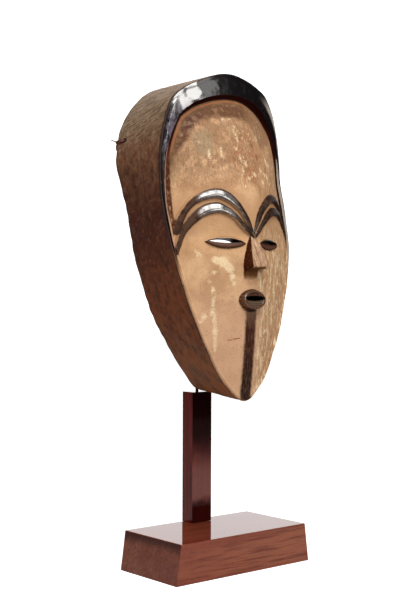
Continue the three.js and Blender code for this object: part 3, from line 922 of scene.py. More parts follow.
# Marks of age on the face and where painted shade and shadow go, each as [x, height, half width, half height,
# turn in degrees]
marks = {
    "flake": [[-64.6, 153, 1.2, 2.4, 0], [-61.5, 151, 0.8, 1.6, 0], [-66.5, 156.5, 0.7, 1.2, 0],
              [-44, 145, 5.5, 4.0, -35], [-37, 143, 7, 5.5, -40],
              [-30, 136, 6.5, 4.5, -50], [-26, 127, 3.2, 4.5, 10], [-24, 119, 1.6, 3, 0],
              [-47, 132, 2, 1.6, 0], [-48, 112, 2, 3, 0],
              [-47, 98, 1.6, 7, -4], [-48, 88, 2.2, 4, 0], [-45, 80, 2.0, 8, 4], [-44, 66, 2.6, 7, 0],
              [-43, 54, 1.4, 8, 0], [-57, 83, 3.2, 3, 30], [-60, 78, 2, 1.5, 0], [-52, 122, 1.4, 1.2, 0],
              [15, 119, 2.0, 9, 4], [12, 128, 1.5, 4, 0], [19, 64, 1.6, 8, 2], [22, 84, 1.3, 6, 0],
              [17, 42, 2.2, 9, 4], [24, 30, 1.8, 7, 8], [31, 98, 1.2, 10, 0], [37, 128, 1.2, 9, 0],
              [45, 112, 1.3, 12, 0], [41, 84, 1.3, 10, 3], [35, 62, 1.2, 8, 5], [49, 138, 1.3, 9, 0],
              [-43.4, 265.5, 1.3, 4.5, 0], [-28.9, 270.5, 1.0, 4.5, 0], [-7.6, 296, 1, 3.5, 0],
              [-4.7, 287.8, 1.2, 4.5, 8], [-8.8, 274.3, 1.4, 2.2, 0], [-4.9, 262.7, 1.6, 3, 10],
              [-4.3, 248.5, 1.4, 3.2, 0], [1.9, 257.4, 1.8, 2.6, 20], [14.3, 245.4, 2.2, 3, 30],
              [27.2, 251.8, 1.2, 3, 0], [43.8, 264.1, 1.8, 4.5, 10], [48.4, 260.2, 1.4, 3.2, 0],
              [30.9, 290.9, 1.4, 3, 15], [28.8, 237.7, 1.8, 2.4, 0], [39.9, 245.4, 2, 3.2, 15],
              [-4.3, 229.6, 1.4, 1.6, 0], [3.6, 239.7, 2.0, 1.6, 0], [-19.7, 309.3, 2.0, 1.2, 0],
              [-5.1, 301.1, 1.2, 1.6, 0], [-10.8, 310.2, 1.8, 1, 0]],
    "rust": [[8, 266, 25, 33, -12], [30, 262, 12, 22, 0]],
    "olive": [[-47, 281, 11, 16, 0], [-62, 302, 6, 6, 0]],
    "stain": [[-86, 245], [-82, 256], [-75, 270], [-67, 281], [-58, 293.5], [-52.6, 303], [-45.5, 308],
              [-27.6, 311.5],
              [2, 313], [20, 309], [29, 297], [37, 280], [62, 290], [80, 330], [30, 362], [-30, 362],
              [-92, 330], [-100, 245]],
    "bare": [[-67, 293, 2.2, 3.2, 20], [16.8, 283, 3, 4.5, 30], [-72, 283, 2, 6, 10], [24, 268, 2.5, 3.5, 0]],
    "scratch": [[-28.8, 55.6], [-21, 56.8], [-13, 57.8]],
    "stripe": {"centre": 1.2, "half": 8.3, "top": 92.0},
    "noseTopSpan": (132, 171), "noseSideSpan": (122, 174), "noseSideShare": (-1.07, -0.8),
    # painted shadow under the nose's foot, as an outline of corners
    "noseShadowOutline": [[-12.1, 135], [-12.0, 129], [-11.4, 123.6], [-3.5, 122], [7.6, 125], [9.4, 132], [9, 136]],
    "nostrils": [[[-6.6, 142], [-6.9, 138], [-5.6, 135]],
                 [[-2.6, 160], [-1.2, 153], [-0.2, 146.5], [1.4, 140], [3.6, 136]],
                 [[6, 159], [10, 153.5], [12.4, 147], [13, 141], [12, 136.5]]],
    "root": [[0.6, 173.5, 4.6, 6.0, 0]],
    "orangeAt": [[0, 7.2], [35, 6.6], [60, 4.0], [90, 2.0], [180, 2.0]],
    "orangeHalf": [[0, 0.9], [28, 1.0], [40, 1.2], [48, 0.2], [56, -1.6], [90, -3], [180, -3]],
    "stripWidth": [[0, 3], [30, 4], [50, 6.5], [75, 7.5], [95, 5], [108, -2], [180, -2]],
    "arrisHalf": [[0, -3], [36, -2], [46, 0.7], [60, 1.1], [90, 1.1], [118, 0.6], [130, -2], [180, -2]],
}


def spotReach(x, height, table):
    reach = np.full(len(x), 40.0)
    for a, b, wide, tall, turn in table:
        sweep = math.radians(turn)
        u = (x - a) * math.cos(sweep) + (height - b) * math.sin(sweep)
        v = -(x - a) * math.sin(sweep) + (height - b) * math.cos(sweep)
        reach = np.minimum(reach, (np.hypot(u / wide, v / tall) - 1) * min(wide, tall))
    return reach


def lineReach(x, height, points):
    reach = np.full(len(x), 40.0)
    for (a, b), (c, d) in zip(points[:-1], points[1:]):
        span = (c - a) ** 2 + (d - b) ** 2
        t = np.clip(((x - a) * (c - a) + (height - b) * (d - b)) / span, 0, 1)
        reach = np.minimum(reach, np.hypot(x - a - t * (c - a), height - b - t * (d - b)))
    return reach


# How far a point is outside a closed outline, below zero inside it
def outlineReach(x, height, corners):
    closed = corners + corners[:1]
    inside = np.zeros(len(x), bool)
    for (a, b), (c, d) in zip(closed[:-1], closed[1:]):
        between = (b > height) != (d > height)
        inside ^= between & (x < a + (c - a) * (height - b) / (d - b + 1e-9))
    return lineReach(x, height, closed) * np.where(inside, -1, 1)


# Dark brown paint with painted shade on the nose's near side: from its foot on the cheek to its front edge
def noseSideReach(x, height):
    half = along(nose["half"], height)
    share = (x - along(nose["middle"], height)) / half
    (back, front), (low, high) = marks["noseSideShare"], marks["noseSideSpan"]
    reach = np.maximum((share - front) * half, (back - share) * half)
    return np.maximum(reach, np.maximum(height - high, low - height))


# How strongly the surface bulges at each vertex, smoothed; worn places stick out, and hollow ones get dirt
# and painted shade
def bulge(mesh, spots, rounds):
    pairs = np.empty(len(mesh.edges) * 2, int)
    mesh.edges.foreach_get("vertices", pairs)
    a, b = pairs.reshape(-1, 2).T
    normals = meshNormals(mesh)
    count = np.bincount(a, minlength=len(spots)) + np.bincount(b, minlength=len(spots))
    gap = spots[b] - spots[a]
    length = np.maximum((gap**2).sum(1), 0.04)
    total = np.zeros(len(spots))
    np.add.at(total, a, -(gap * normals[a]).sum(1) / length)
    np.add.at(total, b, (gap * normals[b]).sum(1) / length)
    value = np.clip(2 * total / np.maximum(count, 1), -1.5, 1.5)
    for _ in range(rounds):
        spread = np.bincount(a, value[b], len(spots)) + np.bincount(b, value[a], len(spots))
        value = 0.5 * value + 0.5 * spread / np.maximum(count, 1)
    return value


def addMark(mesh, name, values):
    kind = "FLOAT_VECTOR" if values.ndim == 2 else "FLOAT"
    made = mesh.attributes.new(name, kind, "POINT")
    made.data.foreach_set("vector" if values.ndim == 2 else "value", values.astype(np.float32).ravel())


def markShell(mesh):
    spots = meshSpots(mesh)
    x, height, depth = spots.T
    angle = crownAngle(x, height)
    radius = np.hypot(x, height - carving["centreHeight"])
    edge = along(frontRadius, angle)
    share = np.clip(depth / along(frontDepth, angle), 0, 1.2)
    addMark(mesh, "place", spots * mm)
    addMark(mesh, "wallPlace", np.stack([outlineLength(angle) * np.sign(x), depth, angle * 0], -1) * mm)
    bandReach = radius - (edge - along(bandWidth, angle))
    addMark(mesh, "bandReach", bandReach)
    addMark(mesh, "outerReach", edge - radius - 0.5 * along(bandWidth, angle))
    addMark(mesh, "edgeReach", edge - radius)
    orange, half, strip = (along(marks[name], angle) for name in ("orangeAt", "orangeHalf", "stripWidth"))
    addMark(mesh, "orangeReach", np.abs(bandReach + orange) - half)
    addMark(mesh, "stripReach", np.maximum(-(bandReach + strip), bandReach + 1.5))
    addMark(mesh, "arrisReach", np.abs(bandReach + 0.2) - along(marks["arrisHalf"], angle))
    addMark(mesh, "wallDrop", along(frontDepth, angle) - depth)
    addMark(mesh, "wallShare", share)
    round = np.hypot((depth - lacingHole["darkDepth"]) / lacingHole["darkLong"],
                     (height - lacingHole["height"]) / lacingHole["radius"])
    addMark(mesh, "holeReach", round * lacingHole["radius"] - lacingHole["radius"])
    addMark(mesh, "browReach", browRelief(x, height)[1])
    addMark(mesh, "lidReach", lidRelief(x, height)[1])
    slitReach, lidLevel = slitGap(x, height)
    addMark(mesh, "slitReach", slitReach)
    addMark(mesh, "lidLevel", lidLevel)
    addMark(mesh, "noseReach", noseSideReach(x, height))
    addMark(mesh, "noseShadowReach", outlineReach(x, height, marks["noseShadowOutline"]))
    addMark(mesh, "nostrilReach", np.minimum.reduce([lineReach(x, height,
                                                               line) for line in marks["nostrils"]]))
    for name in ("root", "rust", "olive", "flake", "bare"):
        addMark(mesh, name + "Reach", spotReach(x, height, marks[name]))
    addMark(mesh, "stainReach", outlineReach(x, height, marks["stain"]))
    low, high = marks["noseTopSpan"]
    sideways = np.abs(x - along(nose["middle"], height)) - along(nose["half"], height)
    addMark(mesh, "noseTopReach", np.maximum(sideways, np.maximum(height - high, low - height)))
    slit = np.hypot((x - mouth["x"]) / mouth["slitHalfWidth"],
                    (height - mouth["slitHeight"]) / mouth["slitHalfHeight"])
    addMark(mesh, "mouthSlitReach", (slit - 1) * mouth["slitHalfHeight"])
    oval = np.hypot((x - mouth["x"]) / mouth["halfWidth"], (height - mouth["height"]) / mouth["halfHeight"])
    addMark(mesh, "mouthReach", (oval - 1) * mouth["halfHeight"])
    addMark(mesh, "mouthLift", depth - mouth["depth"])
    stripe = marks["stripe"]
    sideways = np.abs(x - stripe["centre"]) - stripe["half"]
    addMark(mesh, "stripeReach", np.maximum(sideways, (height - stripe["top"]) * 0.3))
    addMark(mesh, "scratchReach", lineReach(x, height, marks["scratch"]))
    addMark(mesh, "bulge", bulge(mesh, spots, 2))
    addMark(mesh, "broadBulge", bulge(mesh, spots, 14))


def buildMask():
    spots, faces, materials = buildShell()
    mesh = meshFrom("carvedMask", spots, faces, materials)
    faceOutwards(mesh)
    carveShell(mesh)
    mask = addObject("carvedMask", mesh)
    for name in ("faceFinish", "wallFinish", "hollowFinish"):
        mesh.materials.append(bpy.data.materials.new(name))
    print("shell carved", len(mesh.vertices))
    cutOrJoin(mask, [(*buildNose(), faceSlot), (*buildMouth(), faceSlot)], "UNION")
    cutters = [(*cutterFrom(slitOutline(), mouth["depth"] - mouth["slitDepth"], mouth["depth"] + 5),
                faceSlot)]
    for side in (-1, 1):
        cutters.append((*cutterFrom(eyeOutline(side), carving["centreDepth"] - 75,
                                    carving["centreDepth"] + 15), faceSlot))
        cutters.append((*holeCutter(side), hollowSlot))
    cutOrJoin(mask, cutters, "DIFFERENCE")
    mesh = mask.data
    mesh.name = "carvedMask"
    mesh.shade_smooth()
    mesh.set_sharp_from_angle(angle=math.radians(38))
    markShell(mesh)
    setSpots(mesh, toRow(meshSpots(mesh)))
    mesh.calc_loop_triangles()
    print("mask built", len(mesh.loop_triangles))
    return mask


carvedMask = buildMask()


# The lacing: twisted strands along a path, made by geometry nodes from a plain line of points
lacing = {
    "dark": (44, 16, 9), "red": (118, 54, 32), "pale": (156, 92, 66),
    "strandRadius": 1.15, "twistRadius": 1.0, "turns": 2.6, "strayRadius": 0.62, "points": 46, "seed": 4,
    "jitter": 0.00006,
    "stub": [[8.0, 299.0, 10.2], [0.0, 299.0, 10.2], [-2.0, 299.3, 8.4], [-2.2, 299.2, 3.0],
             [-1.8, 299.0, -0.6]],
    "up": [[-1.8, 299.6, 2.0], [-2.4, 301.6, -3.0], [-3.0, 304.6, -9.0]],
    "down": [[-2.0, 298.2, 2.4], [-2.2, 295.0, 0.2], [-2.0, 290.0, -0.6]],
}


def lacingTree():
    tree = bpy.data.node_groups.new("twistedLacing", "GeometryNodeTree")
    face = tree.interface
    face.new_socket("Path", in_out="INPUT", socket_type="NodeSocketGeometry")
    for name, kind, value in (("Strands", "NodeSocketInt", 3), ("Strand Radius", "NodeSocketFloat", 0.001),
                              ("Twist Radius", "NodeSocketFloat", 0.001), ("Turns", "NodeSocketFloat", 2.0),
                              ("Points", "NodeSocketInt", 40), ("Seed", "NodeSocketInt", 1),
                              ("Material", "NodeSocketMaterial", None)):
        socket = face.new_socket(name, in_out="INPUT", socket_type=kind)
        if value is not None:
            socket.default_value = value
    face.new_socket("Lacing", in_out="OUTPUT", socket_type="NodeSocketGeometry")
    start = tree.nodes.new("NodeGroupInput").outputs
    end = tree.nodes.new("NodeGroupOutput").inputs

    def vectorMath(operation, a, b=None, scale=None):
        inputs = {key: value for key, value in ((0, a), (1, b), ("Scale", scale)) if value is not None}
        return addNode(tree, "ShaderNodeVectorMath", inputs, operation=operation).outputs["Vector"]

    def curve(kind, inputs, **settings):
        return addNode(tree, kind, inputs, **settings).outputs["Curve"]

    line = curve("GeometryNodeMeshToCurve", {"Mesh": start["Path"]})
    line = curve("GeometryNodeCurveSplineType", {"Curve": line}, spline_type="BEZIER")
    line = curve("GeometryNodeCurveSetHandles", {"Curve": line}, handle_type="AUTO")
    line = curve("GeometryNodeResampleCurve", {"Curve": line, "Count": start["Points"]})
    copies = addNode(tree, "GeometryNodeDuplicateElements", {"Geometry": line, "Amount": start["Strands"]},
                     domain="SPLINE")
    way = addNode(tree, "GeometryNodeSplineParameter").outputs["Factor"]
    share = calc(tree, "DIVIDE", copies.outputs["Duplicate Index"], start["Strands"])
    turn = times(tree, plus(tree, times(tree, way, start["Turns"]), share), 2 * math.pi)
    normal = addNode(tree, "GeometryNodeInputNormal").outputs["Normal"]
    tangent = addNode(tree, "GeometryNodeInputTangent").outputs["Tangent"]
    other = vectorMath("CROSS_PRODUCT", tangent, normal)
    reach = times(tree, start["Twist Radius"],
                  minus(tree, 1.0, times(tree, calc(tree, "POWER", way, 6.0), 0.5)))
    offset = vectorMath("ADD", vectorMath("SCALE", normal, scale=calc(tree, "COSINE", turn)),
                        vectorMath("SCALE", other, scale=calc(tree, "SINE", turn)))
    wander = addNode(tree, "FunctionNodeRandomValue", {"Min": (-1.0, -1.0, -1.0), "Max": (1.0, 1.0, 1.0),
                                                       "Seed": start["Seed"]}, data_type="FLOAT_VECTOR")
    jitter = vectorMath("SCALE", wander.outputs["Value"], scale=lacing["jitter"])
    moved = addNode(tree, "GeometryNodeSetPosition",
                    {"Geometry": copies.outputs["Geometry"],
                     "Offset": vectorMath("ADD", vectorMath("SCALE", offset, scale=reach), jitter)})
    profile = addNode(tree, "GeometryNodeCurvePrimitiveCircle",
                      {"Resolution": 10, "Radius": start["Strand Radius"]})
    taper = minus(tree, 1.0, times(tree, calc(tree, "POWER", way, 8.0), 0.55))
    sized = addNode(tree, "GeometryNodeSetCurveRadius", {"Curve": moved.outputs["Geometry"], "Radius": taper})
    tube = addNode(tree, "GeometryNodeCurveToMesh", {"Curve": sized.outputs["Curve"],
                                                     "Profile Curve": profile.outputs["Curve"],
                                                     "Fill Caps": True,
                                                     "Scale": taper})
    real = addNode(tree, "GeometryNodeRealizeInstances", {"Geometry": tube.outputs["Mesh"]})
    shaded = addNode(tree, "GeometryNodeSetShadeSmooth", {"Geometry": real.outputs["Geometry"]})
    finished = addNode(tree, "GeometryNodeSetMaterial", {"Geometry": shaded.outputs["Geometry"],
                                                         "Material": start["Material"]})
    tree.links.new(finished.outputs["Geometry"], end["Lacing"])
    return tree


def lacingRun(tree, name, points, values, finish):
    wall = -halfWidthAt(lacingHole["height"], 0.115) - 0.2
    spots = toRow([(wall + x, height, depth) for x, height, depth in points])
    path = bpy.data.meshes.new(name)
    path.from_pydata([tuple(spot) for spot in spots], [(i, i + 1) for i in range(len(spots) - 1)], [])
    run = addObject(name, path)
    twist = run.modifiers.new("twist", "NODES")
    twist.node_group = tree
    ids = {item.name: item.identifier for item in tree.interface.items_tree if item.in_out == "INPUT"}
    for label, value in {**values, "Material": finish}.items():
        twist[ids[label]] = value
    bpy.context.view_layer.update()
    made = bpy.data.meshes.new_from_object(run.evaluated_get(bpy.context.evaluated_depsgraph_get()))
    run.modifiers.remove(twist)
    run.data = made
    return run


def buildLacing():
    finish = bpy.data.materials.new("lacingFinish")
    tree = lacingTree()
    values = {"Strands": 3, "Strand Radius": lacing["strandRadius"] * mm,
              "Twist Radius": lacing["twistRadius"] * mm,
              "Turns": lacing["turns"], "Points": lacing["points"], "Seed": lacing["seed"]}
    stray = {"Strands": 1, "Strand Radius": lacing["strayRadius"] * mm, "Twist Radius": 0.00015, "Turns": 3.0,
             "Points": 24, "Seed": lacing["seed"] + 1}
    runs = [lacingRun(tree, "lacing", lacing["stub"], values, finish),
            lacingRun(tree, "strayUp", lacing["up"], stray, finish),
            lacingRun(tree, "strayDown", lacing["down"], stray, finish)]
    joined = bmesh.new()
    for run in runs:
        joined.from_mesh(run.data)
    bmesh.ops.remove_doubles(joined, verts=joined.verts, dist=1e-6)
    bmesh.ops.recalc_face_normals(joined, faces=joined.faces)
    joined.to_mesh(runs[0].data)
    joined.free()
    runs[0].data.shade_smooth()
    for run in runs[1:]:
        bpy.data.objects.remove(run)
    if not runs[0].data.materials:
        runs[0].data.materials.append(finish)
    print("lacing twisted", len(runs[0].data.vertices))
    return runs[0]


# Colours of the face, as red, green and blue from 0 to 255
faceColours = {
    "clay": (219, 178, 137), "clayDark": (188, 146, 109), "clayGrey": (165, 130, 99),
    "clayPink": (212, 168, 136), "clayWarm": (211, 165, 120), "flake": (243, 219, 180),
    "stain": (108, 76, 56), "stainPurple": (90, 59, 55), "stainOlive": (122, 96, 64), "rust": (168, 108, 76),
    "olive": (166, 148, 118), "noseTop": (184, 148, 120), "noseMottle": (146, 108, 84), "step": (40, 8, 3),
    "strip": (82, 44, 30), "orange": (172, 106, 74), "arris": (196, 154, 130), "black": (12, 7, 11),
    "blackWorn": (58, 48, 48), "bandSheenGrey": (112, 104, 116), "chip": (206, 180, 158), "brow": (46, 31, 24),
    "browSide": (84, 60, 47), "noseLight": (224, 194, 160), "browWorn": (104, 82, 66), "lid": (92, 58, 40),
    "lidWorn": (126, 92, 68), "lidLine": (46, 22, 11), "lidRim": (92, 66, 50), "barrel": (92, 40, 12),
    "barrelDark": (34, 16, 9), "barrelPale": (150, 88, 44), "lips": (92, 58, 42), "lipTick": (34, 20, 16),
    "lowerLip": (110, 92, 72), "stripe": (60, 29, 22), "stripeGrey": (44, 27, 21), "bare": (132, 84, 58),
    "scratch": (134, 64, 48), "dirt": (124, 86, 58), "noseSide": (68, 28, 8), "paintedNoseShadow": (98, 60, 28),
    "nostril": (90, 50, 28), "browRoot": (84, 74, 58), "streak": (130, 91, 58), "bandRimWearAndSheen": (176, 166, 156),
}


def finishFace(material):
    c = tones(faceColours)
    tree, shader = startFinish(material, **{"IOR": 1.5, "Coat IOR": 2.2, "Coat Roughness": 0.18,
                                            "Specular IOR Level": 0.06})
    place, bandReach = markVector(tree, "place"), mark(tree, "bandReach")
    x, height, _ = axes(tree, place)
    x = times(tree, x, 1000.0)
    height = times(tree, height, 1000.0)
    spread = useGroup(tree, mottle, Vector=place, Size=34.0)

    def edged(reach, ragged, size, soft):
        return painted(tree, place, reach, ragged, size, soft)

    # clay, warmer round the eyes, pinker at the chin and greyer on the forehead
    colour = tint(tree, fade(tree, spread["Patches"], 0.36, 0.64), c["clayDark"], c["clay"])
    chin = fade(tree, plus(tree, height, times(tree, spread["Patches"], 50.0)), 160, 95, 0.7)
    colour = tint(tree, chin, colour, c["clayPink"])
    eyeBand = times(tree, fade(tree, height, 145, 165), fade(tree, height, 212, 192),
                    fade(tree, spread["Blotches"], 0.3, 0.6, 0.75))
    colour = tint(tree, eyeBand, colour, c["clayWarm"])
    forehead = times(tree, fade(tree, height, 226, 258), fade(tree, spread["Blotches"], 0.3, 0.56, 0.95))
    colour = tint(tree, forehead, colour, c["clayGrey"])
    olive = edged("oliveReach", 3.0, 7.0, 4.0)
    colour = tint(tree, times(tree, olive, 0.6), colour, c["olive"])
    rust = edged("rustReach", 5.0, 9.0, 5.0)
    rustSpots = fade(tree, noise(tree, place, 5.0, 4.0, 0.62, (1, 1.5, 1), 0.5), 0.42, 0.62, 0.75)
    colour = tint(tree, times(tree, rust, rustSpots), colour, c["rust"])
    farStreaks = fade(tree, noise(tree, place, 2.6, 4.0, 0.62, (1, 7, 1), 7.4), 0.46, 0.6, 0.9)
    farStreaks = times(tree, farStreaks, fade(tree, x, 8, 26), fade(tree, spread["Blotches"], 0.3, 0.46))
    colour = tint(tree, farStreaks, colour, c["streak"])
    fine = times(tree, fade(tree, noise(tree, place, 2.4, 5.0, 0.7, (1, 1.4, 1), 2.6), 0.5, 0.36, 0.4),
                 fade(tree, height, 205, 240))
    colour = tint(tree, fine, colour, c["dirt"])
    combed = fade(tree, noise(tree, place, 1.5, 3.0, 0.6, (1, 9, 1), 1.4), 0.5, 0.34, 0.4)
    combed = times(tree, combed, most(tree, fade(tree, height, 222, 240), fade(tree, x, 10, 30)))
    colour = tint(tree, combed, colour, c["dirt"])
    farSide = times(tree, fade(tree, x, 2, 40), fade(tree, spread["Blotches"], 0.3, 0.58, 0.9))
    colour = tint(tree, farSide, colour, c["clayDark"])
    colour = tint(tree, fade(tree, spread["Specks"], 0.56, 0.72, 0.35), colour, c["dirt"])
    # dirt and painted shade: darker in hollows
    hollowDirtAndShade = fade(tree, mark(tree, "bulge"), -0.06, -0.35, 0.75)
    colour = tint(tree, hollowDirtAndShade, colour, c["dirt"])
    # painted shade: darker clay along the brows
    paintedBrowShade = times(tree, fade(tree, mark(tree, "browReach"), 24.0, 3.0, 0.8), fade(tree, height, 168, 178),
                      fade(tree, height, 232, 212))
    colour = tint(tree, paintedBrowShade, colour, c["clayDark"])

    # cream flakes and streaks of thicker clay
    flakes = edged("flakeReach", 1.8, 2.2, 1.5)
    streaks = noise(tree, place, 2.2, 3.0, 0.6, (1, 7, 1), 0.4)
    sides = times(tree, fade(tree, x, 2, 26), fade(tree, height, 205, 150))
    streaks = times(tree, fade(tree, streaks, 0.51, 0.6), fade(tree, spread["Blotches"], 0.36, 0.5), sides)
    speckle = noise(tree, place, 2.4, 3.0, 0.55, (1, 2.2, 1), 0.9)
    grouped = fade(tree, noise(tree, place, 16, 2.0), 0.38, 0.56)
    upper = most(tree, times(tree, fade(tree, height, 222, 240), fade(tree, x, 6, 30)),
                 times(tree, rust, 0.9))
    speckle = times(tree, fade(tree, speckle, 0.56, 0.66), grouped, upper)
    loose = times(tree, fade(tree, noise(tree, place, 3.2, 4.0, 0.6, (1, 1.6, 1), 2.3), 0.66, 0.72),
                  fade(tree, noise(tree, place, 30, 2.0, 0.5, (1, 1, 1), 1.7), 0.45, 0.62))
    thick = most(tree, flakes, streaks, speckle, loose)
    chalk = noise(tree, place, 1.6, 4.0, 0.65, (1, 1.5, 1), 3.3)
    chalk = plus(tree, 0.5, fade(tree, chalk, 0.36, 0.62, 0.45))
    colour = tint(tree, times(tree, thick, chalk), colour, c["flake"])
    bare = edged("bareReach", 1.2, 3.0, 0.8)
    colour = tint(tree, times(tree, bare, 0.6), colour, c["bare"])
    scratch = fade(tree, mark(tree, "scratchReach"), 1.0, 0.5, 0.8)
    colour = tint(tree, scratch, colour, c["scratch"])

    # the stain below the crown's step, and the dark stripe down the chin
    stain = edged("stainReach", 3.4, 9.0, 4.0)
    blotched = fade(tree, noise(tree, place, 7.0, 4.0, 0.62, (1.4, 1, 1), 3.8), 0.36, 0.58, 0.62)
    stain = times(tree, stain, blotched, fade(tree, x, 34, 6))
    stain = plus(tree, stain, times(tree, edged("stainReach", 2.2, 5.0, 3.0), 0.48))
    purple = times(tree, fade(tree, x, -34, -56), fade(tree, spread["Patches"], 0.4, 0.6, 0.8))
    colour = tint(tree, stain, colour, tint(tree, purple, c["stain"], c["stainPurple"]))
    broken = times(tree, minus(tree, spread["Blotches"], 0.5), 9.0)
    rimStain = times(tree, fade(tree, plus(tree, bandReach, broken), -14, -6, 0.6),
                     fade(tree, height, 215, 250))
    colour = tint(tree, rimStain, colour, c["stainOlive"])
    stripe = edged("stripeReach", 0.8, 5.0, 2.2)
    stripeLines = fade(tree, noise(tree, place, 1.6, 3.0, 0.6, (1, 14, 1), 0.2), 0.3, 0.6)
    strength = plus(tree, fade(tree, height, 92, 66, 0.24), times(tree, stripeLines, 0.12))
    paint = tint(tree, fade(tree, height, 50, 12), c["stripe"], c["stripeGrey"])
    colour = tint(tree, times(tree, stripe, plus(tree, strength, 0.64)), colour, paint)

    # a greyer nose, dark brown with painted shade on its near side, a painted shadow under its foot, and thin
    # lines round its lobes
    noseTop = edged("noseTopReach", 0.4, 3.0, 1.0)
    mottled = fade(tree, noise(tree, place, 3.4, 4.0, 0.62, (1, 1.8, 1), 4.4), 0.44, 0.62, 0.7)
    colour = tint(tree, times(tree, noseTop, 0.85), colour,
                  tint(tree, mottled, c["noseTop"], c["noseMottle"]))
    paleLines = noise(tree, place, 1.8, 3.0, 0.6, (1, 5, 1), 5.2)
    paleLines = times(tree, noseTop, fade(tree, paleLines, 0.52, 0.64, 0.7))
    colour = tint(tree, paleLines, colour, c["noseLight"])
    # the near side is dark brown paint and painted shade
    noseSide = edged("noseReach", 0.2, 3.0, 0.35)
    # painted shadow: brown under the nose's foot
    under = edged("noseShadowReach", 0.5, 4.0, 1.1)
    under = times(tree, under, fade(tree, height, 120, 129, 0.95))
    colour = tint(tree, under, colour, c["paintedNoseShadow"])
    wash = tint(tree, fade(tree, height, 134, 122), c["noseSide"], c["paintedNoseShadow"])
    noseSide = times(tree, noseSide, fade(tree, height, 121, 132),
                     fade(tree, spread["Specks"], 0.2, 0.4, 1.0))
    colour = tint(tree, noseSide, colour, wash)
    nostril = times(tree, fade(tree, mark(tree, "nostrilReach"), 2.0, 0.5, 0.75),
                    fade(tree, mottled, 0.0, 0.5, 0.6))
    nostril = most(tree, nostril, fade(tree, mark(tree, "nostrilReach"), 1.6, 0.5, 0.42))
    colour = tint(tree, nostril, colour, c["nostril"])
    root = edged("rootReach", 0.8, 3.0, 0.9)
    colour = tint(tree, times(tree, root, 0.75), colour, c["browRoot"])

    # the step: a painted shadow at its top, an orange line at its foot, a brown strip with painted shade at
    # the sides
    farRim = fade(tree, x, 10, 48, 3.2)
    # brown with painted shade: the strip along the step at the sides
    strip = edged("stripReach", 0.5, 4.0, 0.9)
    strip = times(tree, strip, fade(tree, noise(tree, place, 3.0, 4.0, 0.62, (1, 2, 1), 2.9), 0.2, 0.56))
    colour = tint(tree, strip, colour, c["strip"])
    # painted shadow: near black in the step under the band, reaching lower on the far side
    stepShadowFrom = most(tree, times(tree, fade(tree, height, 150, 196), fade(tree, x, -5, 5)),
                    fade(tree, height, 258, 288))
    paintedStepShadow = times(tree, fade(tree, plus(tree, bandReach, farRim), -5.2, -4.0), stepShadowFrom)
    colour = tint(tree, paintedStepShadow, colour, c["step"])
    orange = edged("orangeReach", 0.35, 4.0, 0.9)
    orange = times(tree, orange, fade(tree, x, 34, 6, 0.8))
    colour = tint(tree, orange, colour, c["orange"])

    # glossy black on the band, the brows, the lids and the mouth, worn on what sticks out, with painted sheen
    # on the band, painted light on the lower lip and painted shade in the slits
    worn = useGroup(tree, wornEdge, Vector=place, Bulge=mark(tree, "bulge"), Start=0.16, Full=0.4,
                    Size=3.0)["Mask"]
    band = edged(times(tree, bandReach, -1.0), 0.25, 2.5, 0.3)
    band = times(tree, band, fade(tree, height, 128, 160))
    bandColour = tint(tree, times(tree, worn, 0.5), c["black"], c["blackWorn"])
    dulled = times(tree, fade(tree, spread["Blotches"], 0.5, 0.7, 0.4), fade(tree, x, 4, -24))
    bandColour = tint(tree, dulled, bandColour, c["blackWorn"])
    # painted sheen: grey-purple streaks on the band's near side
    paintedBandSheen = fade(tree, noise(tree, place, 6.0, 4.0, 0.62, (1, 2, 1), 9.1), 0.38, 0.6, 0.85)
    paintedBandSheen = times(tree, paintedBandSheen, fade(tree, x, -54, -66), fade(tree, height, 246, 284),
                   fade(tree, height, 334, 320), fade(tree, mark(tree, "edgeReach"), 1.5, 3.0))
    bandColour = tint(tree, paintedBandSheen, bandColour, c["bandSheenGrey"])
    chips = fade(tree, noise(tree, place, 5.2, 4.0, 0.62, (1, 1.8, 1), 3.5), 0.6, 0.66)
    chips = times(tree, chips, fade(tree, mark(tree, "edgeReach"), 2.2, 1.0), fade(tree, x, -60, -74),
                  fade(tree, height, 205, 235), 0.8)
    bandColour = tint(tree, chips, bandColour, c["chip"])
    # painted reflection: a light grey strip along the band's far outer edge
    farBandPaintedSheen = edged("outerReach", 0.9, 9.0, 1.8)
    farBandPaintedSheen = times(tree, farBandPaintedSheen, fade(tree, x, 40, 66), fade(tree, height, 190, 235),
                    fade(tree, height, 350, 332, 0.9))
    bandColour = tint(tree, farBandPaintedSheen, bandColour, c["bandRimWearAndSheen"])
    colour = tint(tree, band, colour, bandColour)
    arris = edged("arrisReach", 0.25, 5.0, 0.35)
    colour = tint(tree, times(tree, arris, 0.85), colour,
                  tint(tree, fade(tree, x, -5, 5), c["arris"], c["bandRimWearAndSheen"]))
    browMask = edged("browReach", 0.35, 3.0, 0.3)
    browColour = tint(tree, fade(tree, spread["Blotches"], 0.48, 0.64, 0.35), c["brow"], c["browWorn"])
    browColour = tint(tree, times(tree, worn, 0.55), browColour, c["browWorn"])
    browSide = times(tree, fade(tree, x, -46, -68), fade(tree, spread["Blotches"], 0.3, 0.5, 0.9))
    browColour = tint(tree, browSide, browColour, c["browSide"])
    colour = tint(tree, browMask, colour, browColour)
    lids = edged("lidReach", 0.2, 2.0, 0.3)
    slitReach, level = mark(tree, "slitReach"), mark(tree, "lidLevel")
    lowerLid, farLid = fade(tree, level, 0.5, -0.5), fade(tree, x, -1.0, 1.0, 0.85)
    lids = times(tree, lids, most(tree, lowerLid, farLid, fade(tree, slitReach, 1.3, 0.7)))
    lidColour = tint(tree, times(tree, worn, 0.35), c["lid"], c["lidWorn"])
    lidColour = tint(tree, fade(tree, mark(tree, "lidReach"), -1.6, -0.7, 0.8), lidColour, c["lidLine"])
